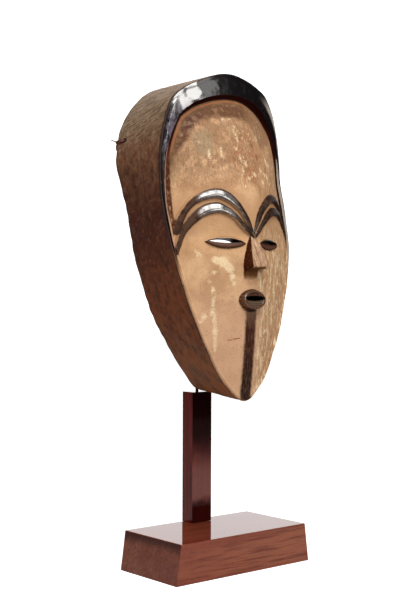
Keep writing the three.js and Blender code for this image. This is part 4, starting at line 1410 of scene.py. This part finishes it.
    paleRim = times(tree, fade(tree, slitReach, 1.0, 0.5, 0.6), lowerLid, fade(tree, x, -22, -34))
    lidColour = tint(tree, paleRim, lidColour, c["lidRim"])
    # painted shade: the lid and the slit's wall near its inner end are dark
    darkRim = times(tree, fade(tree, slitReach, 2.6, 0.6, 0.8), fade(tree, x, -34, -22))
    lidColour = tint(tree, darkRim, lidColour, c["lidLine"])
    upperRim = times(tree, fade(tree, slitReach, 1.4, 0.8), fade(tree, level, 0.2, 0.8))
    lidColour = tint(tree, upperRim, lidColour, c["lipTick"])
    colour = tint(tree, lids, colour, lidColour)
    mouthReach, lift = mark(tree, "mouthReach"), mark(tree, "mouthLift")
    below = times(tree, fade(tree, height, 94, 88), 1.3)
    barrel = times(tree, fade(tree, minus(tree, mouthReach, below), 1.9, 1.0), fade(tree, lift, -10.0, -8.0))
    ringSide = fade(tree, plus(tree, lift, times(tree, spread["Specks"], 2.0)), -4.0, -0.6)
    streaked = noise(tree, place, 2.6, 3.0, 0.6, (1, 1, 3.5), 0.6)
    sideColour = tint(tree, fade(tree, streaked, 0.62, 0.46), c["barrel"], c["barrelDark"])
    sideColour = tint(tree, fade(tree, streaked, 0.54, 0.66, 0.85), sideColour, c["barrelPale"])
    barrelColour = tint(tree, ringSide, sideColour, c["lips"])
    inLips = fade(tree, mouthReach, -2.4, -3.0)
    wave = calc(tree, "SINE", plus(tree, times(tree, x, 3.3), times(tree, spread["Specks"], 5.0)))
    ticks = times(tree, fade(tree, wave, 0.1, 0.8), fade(tree, height, 102.4, 103.6), inLips)
    wave = calc(tree, "SINE", plus(tree, times(tree, height, 2.9), spread["Specks"]))
    # the lower lip is paler: its own greyer colour and painted light on its upward face
    lower = times(tree, fade(tree, height, 100.4, 99.2), inLips, fade(tree, height, 90.6, 92.4))
    ridges = times(tree, fade(tree, wave, 0.1, 0.8), lower)
    barrelColour = tint(tree, times(tree, lower, 0.9), barrelColour, c["lowerLip"])
    barrelColour = tint(tree, times(tree, most(tree, ticks, ridges), 0.7), barrelColour, c["lipTick"])
    barrelColour = tint(tree, times(tree, worn, 0.35), barrelColour, c["browWorn"])
    # painted shade: the blind slit's inside is near black
    deep = times(tree, fade(tree, mark(tree, "mouthSlitReach"), 1.0, 0.45), fade(tree, lift, -16.0, -14.0))
    colour = tint(tree, barrel, colour, barrelColour)
    colour = tint(tree, deep, colour, (0.002, 0.001, 0.001, 1.0))
    ring = times(tree, barrel, fade(tree, mouthReach, -3.4, -2.6), fade(tree, lift, -3.0, -1.4))
    ring = times(tree, ring, fade(tree, noise(tree, place, 3.2, 3.0, 0.6, (1, 1, 1), 7.7), 0.36, 0.58),
                 fade(tree, x, 15, 6, 0.7))
    dullLips = times(tree, barrel, minus(tree, 0.3, times(tree, deep, 0.3)))
    dullLips = most(tree, dullLips, ring)
    dullLids = times(tree, lids, fade(tree, level, 1.5, 3.5))
    dullLids = most(tree, dullLids, times(tree, lids, 0.05))
    patches = fade(tree, noise(tree, place, 7.0, 4.0, 0.6, (1, 1.5, 1), 6.1), 0.42, 0.68, 0.7)
    patches = times(tree, patches, fade(tree, height, 236, 292))
    patches = most(tree, patches, fade(tree, height, 304, 332))
    patches = times(tree, patches, minus(tree, 1.0, fade(tree, x, -16, 8, 0.65)))
    gloss = times(tree, band, plus(tree, 0.04, times(tree, patches, 0.96)))
    browPatches = fade(tree, noise(tree, place, 5.0, 3.0, 0.55, (1, 1, 1), 8.2), 0.32, 0.54, 0.5)
    browGloss = times(tree, browMask, plus(tree, 0.62, browPatches), fade(tree, x, 9, 0),
                      fade(tree, x, -66, -58, 0.92))
    browGloss = times(tree, browGloss, minus(tree, 1.0, fade(tree, x, -32, -22, 0.55)))
    gloss = most(tree, gloss, browGloss, dullLids, dullLips)
    patina = most(tree, band, browMask, lids, barrel)
    clayRough = plus(tree, 0.66, times(tree, spread["Blotches"], 0.2))
    blackRough = plus(tree, 0.36, times(tree, spread["Blotches"], 0.2))
    rough = addNode(tree, "ShaderNodeMix", {0: patina, 2: clayRough, 3: blackRough}).outputs[0]
    feedAll(tree, shader, {"Base Color": colour, "Roughness": rough, "Coat Weight": gloss})

    grain = noise(tree, place, 0.9, 4.0, 0.6, (1, 3.5, 1), 0.3)
    pits = fade(tree, noise(tree, place, 1.9, 2.0, 0.5, (1, 1.3, 1), 5.0), 0.36, 0.3)
    tools = noise(tree, place, 6.0, 2.0, 0.5, (1.6, 1, 1), 1.0)
    lifted = plus(tree, times(tree, grain, minus(tree, 0.5, times(tree, patina, 0.3))),
                  times(tree, thick, 0.5))
    lifted = minus(tree, plus(tree, lifted, times(tree, tools, 0.9)), times(tree, pits, 0.5))
    lifted = minus(tree, lifted, most(tree, times(tree, nostril, 2.0), ticks, ridges))
    addBump(tree, shader, lifted, 0.00028, 0.9)


wallColours = {
    "chin": (142, 95, 63), "low": (141, 76, 42), "middle": (93, 42, 21), "shoulder": (134, 95, 68),
    "crown": (168, 142, 113), "crownDark": (104, 77, 57), "streak": (60, 31, 21), "pale": (150, 112, 82),
    "orange": (160, 92, 52), "edge": (40, 29, 28), "rim": (46, 26, 18), "clay": (180, 140, 106),
    "hole": (12, 7, 6), "reddish": (110, 63, 43), "speck": (140, 86, 58),
}


def finishWall(material):
    c = tones(wallColours)
    tree, shader = startFinish(material, **{"IOR": 1.5, "Specular IOR Level": 0.22})
    place, wall = markVector(tree, "place"), markVector(tree, "wallPlace")
    _, height, depth = axes(tree, place)
    height = times(tree, height, 1000.0)
    spread = useGroup(tree, mottle, Vector=place, Size=36.0)
    grain = useGroup(tree, woodGrain, Vector=wall, Spacing=2.6, Length=16.0)
    level = plus(tree, height, times(tree, minus(tree, spread["Blotches"], 0.5), 60.0))
    colour = tint(tree, fade(tree, level, 20, 80), c["chin"], c["low"])
    colour = tint(tree, fade(tree, level, 110, 185), colour, c["middle"])
    colour = tint(tree, fade(tree, level, 205, 262), colour, c["shoulder"])
    crown = fade(tree, level, 262, 318)
    slant = noise(tree, turned(tree, wall, (0, 0, -72)), 2.3, 5.0, 0.68, (7, 1, 1), 0.7, 0.6)
    crownColour = tint(tree, fade(tree, slant, 0.36, 0.6), c["crownDark"], c["crown"])
    rough = noise(tree, wall, 7.0, 5.0, 0.7, (1, 1, 1), 6.6)
    crownColour = tint(tree, fade(tree, rough, 0.52, 0.38, 0.6), crownColour, c["crownDark"])
    crownColour = tint(tree, fade(tree, noise(tree, wall, 2.0, 4.0, 0.65, (1.6, 1, 1), 8.8), 0.6, 0.68, 0.6),
                       crownColour, c["streak"])
    colour = tint(tree, crown, colour, crownColour)
    redder = times(tree, fade(tree, noise(tree, wall, 5.0, 5.0, 0.7, (1.4, 1, 1), 4.1), 0.42, 0.6, 0.9),
                   fade(tree, height, 215, 240), fade(tree, height, 312, 280))
    colour = tint(tree, redder, colour, c["reddish"])
    plainGrain = fade(tree, height, 290, 250)
    colour = tint(tree, times(tree, fade(tree, grain["Lines"], 0.5, 0.34, 0.5), plainGrain), colour,
                  c["streak"])
    mottled = fade(tree, noise(tree, wall, 7.0, 5.0, 0.7, (1.4, 1, 1), 1.9), 0.54, 0.38, 0.62)
    colour = tint(tree, times(tree, mottled, plainGrain), colour, c["streak"])
    specked = times(tree, fade(tree, noise(tree, wall, 4.8, 5.0, 0.72, (1.2, 1, 1), 7.9), 0.5, 0.64, 0.55),
                    fade(tree, height, 300, 250))
    colour = tint(tree, specked, colour, c["speck"])
    paleLines = times(tree, fade(tree, grain["Lines"], 0.56, 0.7), fade(tree, height, 110, 60, 0.7))
    colour = tint(tree, paleLines, colour, c["pale"])
    colour = tint(tree, times(tree, grain["Pores"], 0.5), colour, c["streak"])
    nicks = noise(tree, wall, 1.3, 3.0, 0.6, (2.5, 18, 1), 2.0)
    nicks = times(tree, fade(tree, nicks, 0.66, 0.74, 0.6), fade(tree, height, 120, 150),
                  fade(tree, height, 260, 225))
    colour = tint(tree, nicks, colour, c["pale"])
    patch = times(tree, fade(tree, plus(tree, height, times(tree, spread["Blotches"], 50.0)), 92, 60),
                  fade(tree, spread["Patches"], 0.4, 0.6, 0.8))
    colour = tint(tree, patch, colour, c["orange"])
    worn = useGroup(tree, wornEdge, Vector=place, Bulge=mark(tree, "bulge"), Start=0.08, Full=0.3,
                    Size=4.0)["Mask"]
    colour = tint(tree, times(tree, worn, 0.4), colour, c["pale"])
    # dirt and painted shade: darker in broad hollows of the wall
    colour = tint(tree, fade(tree, mark(tree, "broadBulge"), -0.03, -0.2, 0.6), colour, c["streak"])
    edge = painted(tree, place, minus(tree, mark(tree, "wallDrop"), 3.4), 0.8, 7.0, 1.2)
    colour = tint(tree, times(tree, edge, fade(tree, height, 120, 190, 0.85)), colour, c["edge"])
    colour = tint(tree, times(tree, edge, fade(tree, height, 190, 120, 0.5)), colour, c["streak"])
    drips = painted(tree, place, minus(tree, mark(tree, "wallDrop"), 0.7), 0.5, 2.6, 0.3)
    colour = tint(tree, times(tree, drips, fade(tree, height, 160, 120)), colour, c["clay"])
    rim = painted(tree, place, minus(tree, times(tree, depth, 1000.0), 1.6), 0.9, 6.0, 0.9)
    colour = tint(tree, times(tree, rim, 0.85), colour, c["rim"])
    # painted shade: near black round the lacing hole
    colour = tint(tree, fade(tree, mark(tree, "holeReach"), 0.5, -0.3, 0.95), colour, c["hole"])
    feedAll(tree, shader, {"Base Color": colour, "Roughness": plus(tree, 0.42,
                                                                   times(tree, spread["Blotches"], 0.3))})
    marksOver = times(tree, slant, plus(tree, 0.35, times(tree, crown, 0.9)))
    lifted = plus(tree, times(tree, grain["Lines"], 0.6), marksOver)
    lifted = minus(tree, lifted, times(tree, grain["Pores"], 0.4))
    lifted = plus(tree, lifted, times(tree, spread["Specks"], 0.35))
    addBump(tree, shader, lifted, 0.00045, 0.9)


hollowColours = {"wood": (124, 92, 64), "dark": (74, 48, 34), "dust": (168, 146, 118), "deep": (58, 38, 28)}


def finishHollow(material):
    c = tones(hollowColours)
    tree, shader = startFinish(material, **{"IOR": 1.45})
    place = markVector(tree, "place")
    spread = useGroup(tree, mottle, Vector=place, Size=40.0)
    grain = useGroup(tree, woodGrain, Vector=turned(tree, place, (0, 0, 90)), Spacing=2.4, Length=14.0)
    colour = tint(tree, fade(tree, spread["Patches"], 0.38, 0.62), c["dark"], c["wood"])
    colour = tint(tree, fade(tree, grain["Lines"], 0.5, 0.34, 0.6), colour, c["dark"])
    colour = tint(tree, times(tree, grain["Pores"], 0.5), colour, c["deep"])
    ridges = useGroup(tree, wornEdge, Vector=place, Bulge=mark(tree, "broadBulge"), Start=0.03, Full=0.16,
                      Size=5.0)["Mask"]
    colour = tint(tree, times(tree, ridges, 0.5), colour, c["dust"])
    # dirt and painted shade: darker in broad hollows of the inside
    colour = tint(tree, fade(tree, mark(tree, "broadBulge"), -0.02, -0.14, 0.6), colour, c["deep"])
    colour = tint(tree, fade(tree, spread["Blotches"], 0.52, 0.7, 0.35), colour, c["dust"])
    feedAll(tree, shader, {"Base Color": colour, "Roughness": plus(tree, 0.7,
                                                                   times(tree, spread["Blotches"], 0.2))})
    lifted = plus(tree, times(tree, grain["Lines"], 0.8), times(tree, spread["Specks"], 0.4))
    addBump(tree, shader, minus(tree, lifted, times(tree, grain["Pores"], 0.4)), 0.0005, 0.9)


def finishLacing(material):
    tree, shader = startFinish(material, **{"IOR": 1.5, "Coat Weight": 0.15, "Coat Roughness": 0.35})
    place = objectPlace(tree)
    fibres = noise(tree, turned(tree, place, (0, 0, 18)), 0.35, 3.0, 0.6, (1, 9, 1))
    spread = useGroup(tree, mottle, Vector=place, Size=5.0)
    colour = tint(tree, fade(tree, fibres, 0.35, 0.62), tone(*lacing["dark"]), tone(*lacing["red"]))
    colour = tint(tree, fade(tree, spread["Blotches"], 0.5, 0.68, 0.4), colour, tone(*lacing["pale"]))
    feedAll(tree, shader, {"Base Color": colour, "Roughness": plus(tree, 0.36, times(tree, fibres, 0.3))})
    addBump(tree, shader, fibres, 0.0002)


# The mask's and the lacing's finishes go onto their pieces
for name, finish in (("faceFinish", finishFace), ("wallFinish", finishWall), ("hollowFinish", finishHollow)):
    finish(bpy.data.materials[name])
lacingPiece = buildLacing()
finishLacing(bpy.data.materials["lacingFinish"])
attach(carvedMask, "root")
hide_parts("mask")
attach(lacingPiece, "root")
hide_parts("lacing_stub")
print("mask and lacing finished")


# The stand: polished red-brown wood with its grain along the plinth and up the post, and a black rod
stand = {
    "baseWood": (141, 70, 50), "baseLight": (160, 92, 66), "baseLine": (108, 46, 32),
    "baseEdge": (58, 18, 13), "basePore": (56, 20, 14),
    "postWood": (112, 26, 18), "postLight": (128, 38, 28), "postLine": (60, 12, 9), "postPore": (30, 8, 7),
    # the post's front face: a near black painted shadow and a paler painted light
    "postPaintedShadow": (26, 4, 5), "postPaintedLight": (128, 78, 70),
    "rod": (24, 24, 26), "rodPale": (44, 42, 42), "rodScuff": (92, 90, 88),
    "gloss": 0.05, "frontSkin": (0.0009, 0.0003), "topEdge": (0.016, 0.002),
}


# The post's front face, with painted light and shade: a near black painted shadow under the mask and painted
# shade at its foot, with painted light in between
def paintLightAndShadeOnPostFront(tree, colour):
    corners = [Vector(corner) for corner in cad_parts["stand_post"].bound_box]
    low, high = min(corner.z for corner in corners), max(corner.z for corner in corners)
    front = min(corner.y for corner in corners)
    place = objectPlace(tree)
    _, y, z = axes(tree, place)
    share = calc(tree, "DIVIDE", minus(tree, z, low), high - low)
    share = plus(tree, share, times(tree, minus(tree, noise(tree, place, 14, 3.0), 0.5), 0.1))
    ahead = fade(tree, y, *(front + skin for skin in stand["frontSkin"]))
    # painted light: a paler band in the middle of the front face
    dust = times(tree, ahead, fade(tree, share, 0.12, 0.2), fade(tree, share, 0.64, 0.3), 0.66)
    colour = tint(tree, dust, colour, tone(*stand["postPaintedLight"]))
    # painted shade: near black at the top, under the mask, and at the foot
    shade = most(tree, fade(tree, share, 0.36, 0.68, 0.96), fade(tree, share, 0.2, 0.12, 0.85))
    shade = times(tree, ahead, shade)
    polish = minus(tree, 1.0, times(tree, shade, 0.75))
    return tint(tree, shade, colour, tone(*stand["postPaintedShadow"])), polish


# The plinth's ends show fine upright lines and darken to their top edge, and its top carries painted shade,
# darker than its front
def paintPlinthEndsAndTopShade(tree, colour):
    high = max(Vector(corner).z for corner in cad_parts["stand_base"].bound_box)
    place = objectPlace(tree)
    _, _, z = axes(tree, place)
    acrossX, _, upward = axes(tree, addNode(tree, "ShaderNodeTexCoord").outputs["Normal"])
    ends = fade(tree, calc(tree, "ABSOLUTE", acrossX), 0.7, 0.9)
    lines = fade(tree, noise(tree, place, 1.3, 4.0, 0.65, (1, 1, 16), 2.2), 0.56, 0.4, 0.42)
    colour = tint(tree, times(tree, ends, lines), colour, tone(*stand["baseLine"]))
    start, full = stand["topEdge"]
    dark = times(tree, ends, fade(tree, z, high - start, high - full, 0.88))
    colour = tint(tree, dark, colour, tone(*stand["baseEdge"]))
    # painted shade: the upward faces are darker than the front
    return tint(tree, fade(tree, upward, 0.7, 0.9, 0.5), colour, tone(*stand["baseLine"]))


def finishStandWood(name, part, direction, spacing):
    material = bpy.data.materials.new(name)
    tree, shader = startFinish(material, **{"IOR": 1.5, "Specular IOR Level": 0.0, "Coat Weight": 1.0,
                                            "Coat Roughness": stand["gloss"], "Coat IOR": 1.5})
    place = turned(tree, objectPlace(tree), direction)
    drift = noise(tree, place, 70, 2.0, 0.5, (3, 1, 1), 0.6)
    moved = addNode(tree, "ShaderNodeVectorMath", {0: drift, 1: (0.0, 0.004, 0.004), 2: place},
                    operation="MULTIPLY_ADD")
    grain = useGroup(tree, woodGrain, Vector=moved.outputs[0], Spacing=spacing, Length=26.0)
    fine = useGroup(tree, woodGrain, Vector=moved.outputs[0], Spacing=spacing * 0.38, Length=30.0)
    c = {kind: tone(*stand[part + kind]) for kind in ("Wood", "Light", "Line", "Pore")}
    colour = tint(tree, fade(tree, grain["Bands"], 0.34, 0.66), c["Wood"], c["Light"])
    colour = tint(tree, fade(tree, grain["Lines"], 0.52, 0.34, 0.8), colour, c["Line"])
    colour = tint(tree, fade(tree, fine["Lines"], 0.5, 0.32, 0.55), colour, c["Line"])
    colour = tint(tree, times(tree, fine["Pores"], 0.75), colour, c["Pore"])
    if part == "base":
        colour = paintPlinthEndsAndTopShade(tree, colour)
    if part == "post":
        colour, polish = paintLightAndShadeOnPostFront(tree, colour)
        feed(tree, shader.inputs["Coat Weight"], polish)
    feedAll(tree, shader, {"Base Color": colour, "Roughness": plus(tree, 0.3,
                                                                   times(tree, grain["Lines"], 0.2))})
    lifted = minus(tree, times(tree, fine["Lines"], 0.4), times(tree, fine["Pores"], 0.5))
    addBump(tree, shader, lifted, 0.00006, 0.6)
    return material


def finishRod(name):
    material = bpy.data.materials.new(name)
    tree, shader = startFinish(material, **{"IOR": 1.5, "Coat Weight": 0.4, "Coat Roughness": 0.2})
    place = objectPlace(tree)
    spread = useGroup(tree, mottle, Vector=place, Size=9.0)
    colour = tint(tree, fade(tree, spread["Blotches"], 0.4, 0.66), tone(*stand["rod"]),
                  tone(*stand["rodPale"]))
    scuffs = noise(tree, place, 0.8, 3.0, 0.6, (1, 1, 12), 0.5)
    colour = tint(tree, fade(tree, scuffs, 0.64, 0.74, 0.5), colour, tone(*stand["rodScuff"]))
    feedAll(tree, shader, {"Base Color": colour, "Roughness": plus(tree, 0.3,
                                                                   times(tree, spread["Blotches"], 0.25))})
    addBump(tree, shader, spread["Specks"], 0.00008)
    return material


def dress(node, material):
    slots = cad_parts[node].data.materials
    if not slots:
        slots.append(material)
    for number in range(len(slots)):
        slots[number] = material


dress("stand_base", finishStandWood("baseFinish", "base", (0, 0, 0), 3.2))
dress("stand_post", finishStandWood("postFinish", "post", (0, 90, 0), 2.4))
dress("stand_rod", finishRod("rodFinish"))
print("stand finished")


# The studio: a pale floor, a white backdrop behind the mask and a tall soft light in front of its face.
# Directions are degrees round the mask from its front, and degrees up.
studio = {
    "floor": (246, 245, 243), "floorPale": (250, 250, 249), "floorSeenByObject": (196, 194, 191),
    "floorGlow": 0.9, "floorFront": -1.25,
    "floorReach": 9.0, "backdrop": 1.45, "backdropWay": (0.55, 0.83, 0.1), "dark": 0.03,
    "lights": [
        {"name": "keyLow", "round": -3, "up": 15, "away": 1.5, "wide": 0.55, "tall": 0.6, "power": 7.2},
        {"name": "keyHigh", "round": -17, "up": 46, "away": 1.5, "wide": 0.8, "tall": 0.64, "power": 14.5},
        {"name": "keyEdge", "round": 23, "up": 27, "away": 1.5, "wide": 0.5, "tall": 0.9, "power": 1.5},
        {"name": "topSoftbox", "round": -60, "up": 76, "away": 1.3, "wide": 0.8, "tall": 0.8, "power": 4},
        {"name": "sideFill", "round": -98, "up": 24, "away": 1.8, "wide": 1.1, "tall": 1.1, "power": 6},
    ],
    "aim": (0.0, 0.0, 0.4), "warm": (1.0, 0.97, 0.94),
}


def buildWorld():
    world = bpy.data.worlds.new("studioWorld")
    bpy.context.scene.world = world
    world.use_nodes = True
    tree = world.node_tree
    back = tree.nodes["Background"]
    camera = addNode(tree, "ShaderNodeLightPath").outputs["Is Camera Ray"]
    way = addNode(tree, "ShaderNodeTexCoord").outputs["Generated"]
    towards = addNode(tree, "ShaderNodeVectorMath", {0: way, 1: studio["backdropWay"]},
                      operation="DOT_PRODUCT")
    lit = plus(tree, studio["dark"], fade(tree, towards.outputs["Value"], 0.66, 0.82, studio["backdrop"]))
    feed(tree, back.inputs["Strength"], most(tree, camera, lit))
    back.inputs["Color"].default_value = (1, 1, 1, 1)


def buildLights():
    aim = Vector(studio["aim"])
    for setup in studio["lights"]:
        data = bpy.data.lights.new(setup["name"], "AREA")
        data.shape = "RECTANGLE"
        data.size, data.size_y, data.energy = setup["wide"], setup["tall"], setup["power"]
        data.color = studio["warm"]
        light = addObject(setup["name"], data)
        turn, lift = math.radians(setup["round"]), math.radians(setup["up"])
        way = Vector((math.sin(turn) * math.cos(lift), -math.cos(turn) * math.cos(lift), math.sin(lift)))
        light.location = aim + way * setup["away"]
        light.rotation_euler = (-way).to_track_quat("-Z", "Y").to_euler()


def buildFloor():
    mesh = bpy.data.meshes.new("floor")
    front, reach, steps = studio["floorFront"], studio["floorReach"], 24
    across = [-reach + 2 * reach * i / steps for i in range(steps + 1)]
    back = [front + (reach - front) * i / steps for i in range(steps + 1)]
    spots = [(x, y, 0.0) for y in back for x in across]
    faces = [(j * (steps + 1) + i, j * (steps + 1) + i + 1, (j + 1) * (steps + 1) + i + 1,
              (j + 1) * (steps + 1) + i)
             for j in range(steps) for i in range(steps)]
    mesh.from_pydata(spots, [], faces)
    floor = addObject("floor", mesh)
    material = bpy.data.materials.new("floorFinish")
    tree, shader = startFinish(material, **{"Roughness": 0.8, "IOR": 1.2, "Emission Color": (1, 1, 1, 1)})
    place = objectPlace(tree)
    colour = tint(tree, fade(tree, noise(tree, place, 400, 2.0), 0.3, 0.7), tone(*studio["floor"]),
                  tone(*studio["floorPale"]))
    camera = addNode(tree, "ShaderNodeLightPath").outputs["Is Camera Ray"]
    colour = tint(tree, camera, tone(*studio["floorSeenByObject"]), colour)
    feed(tree, shader.inputs["Emission Strength"], times(tree, camera, studio["floorGlow"]))
    feed(tree, shader.inputs["Base Color"], colour)
    mesh.materials.append(material)


bpy.context.scene.view_settings.view_transform = "Standard"
buildWorld()
buildLights()
buildFloor()
print("studio ready")
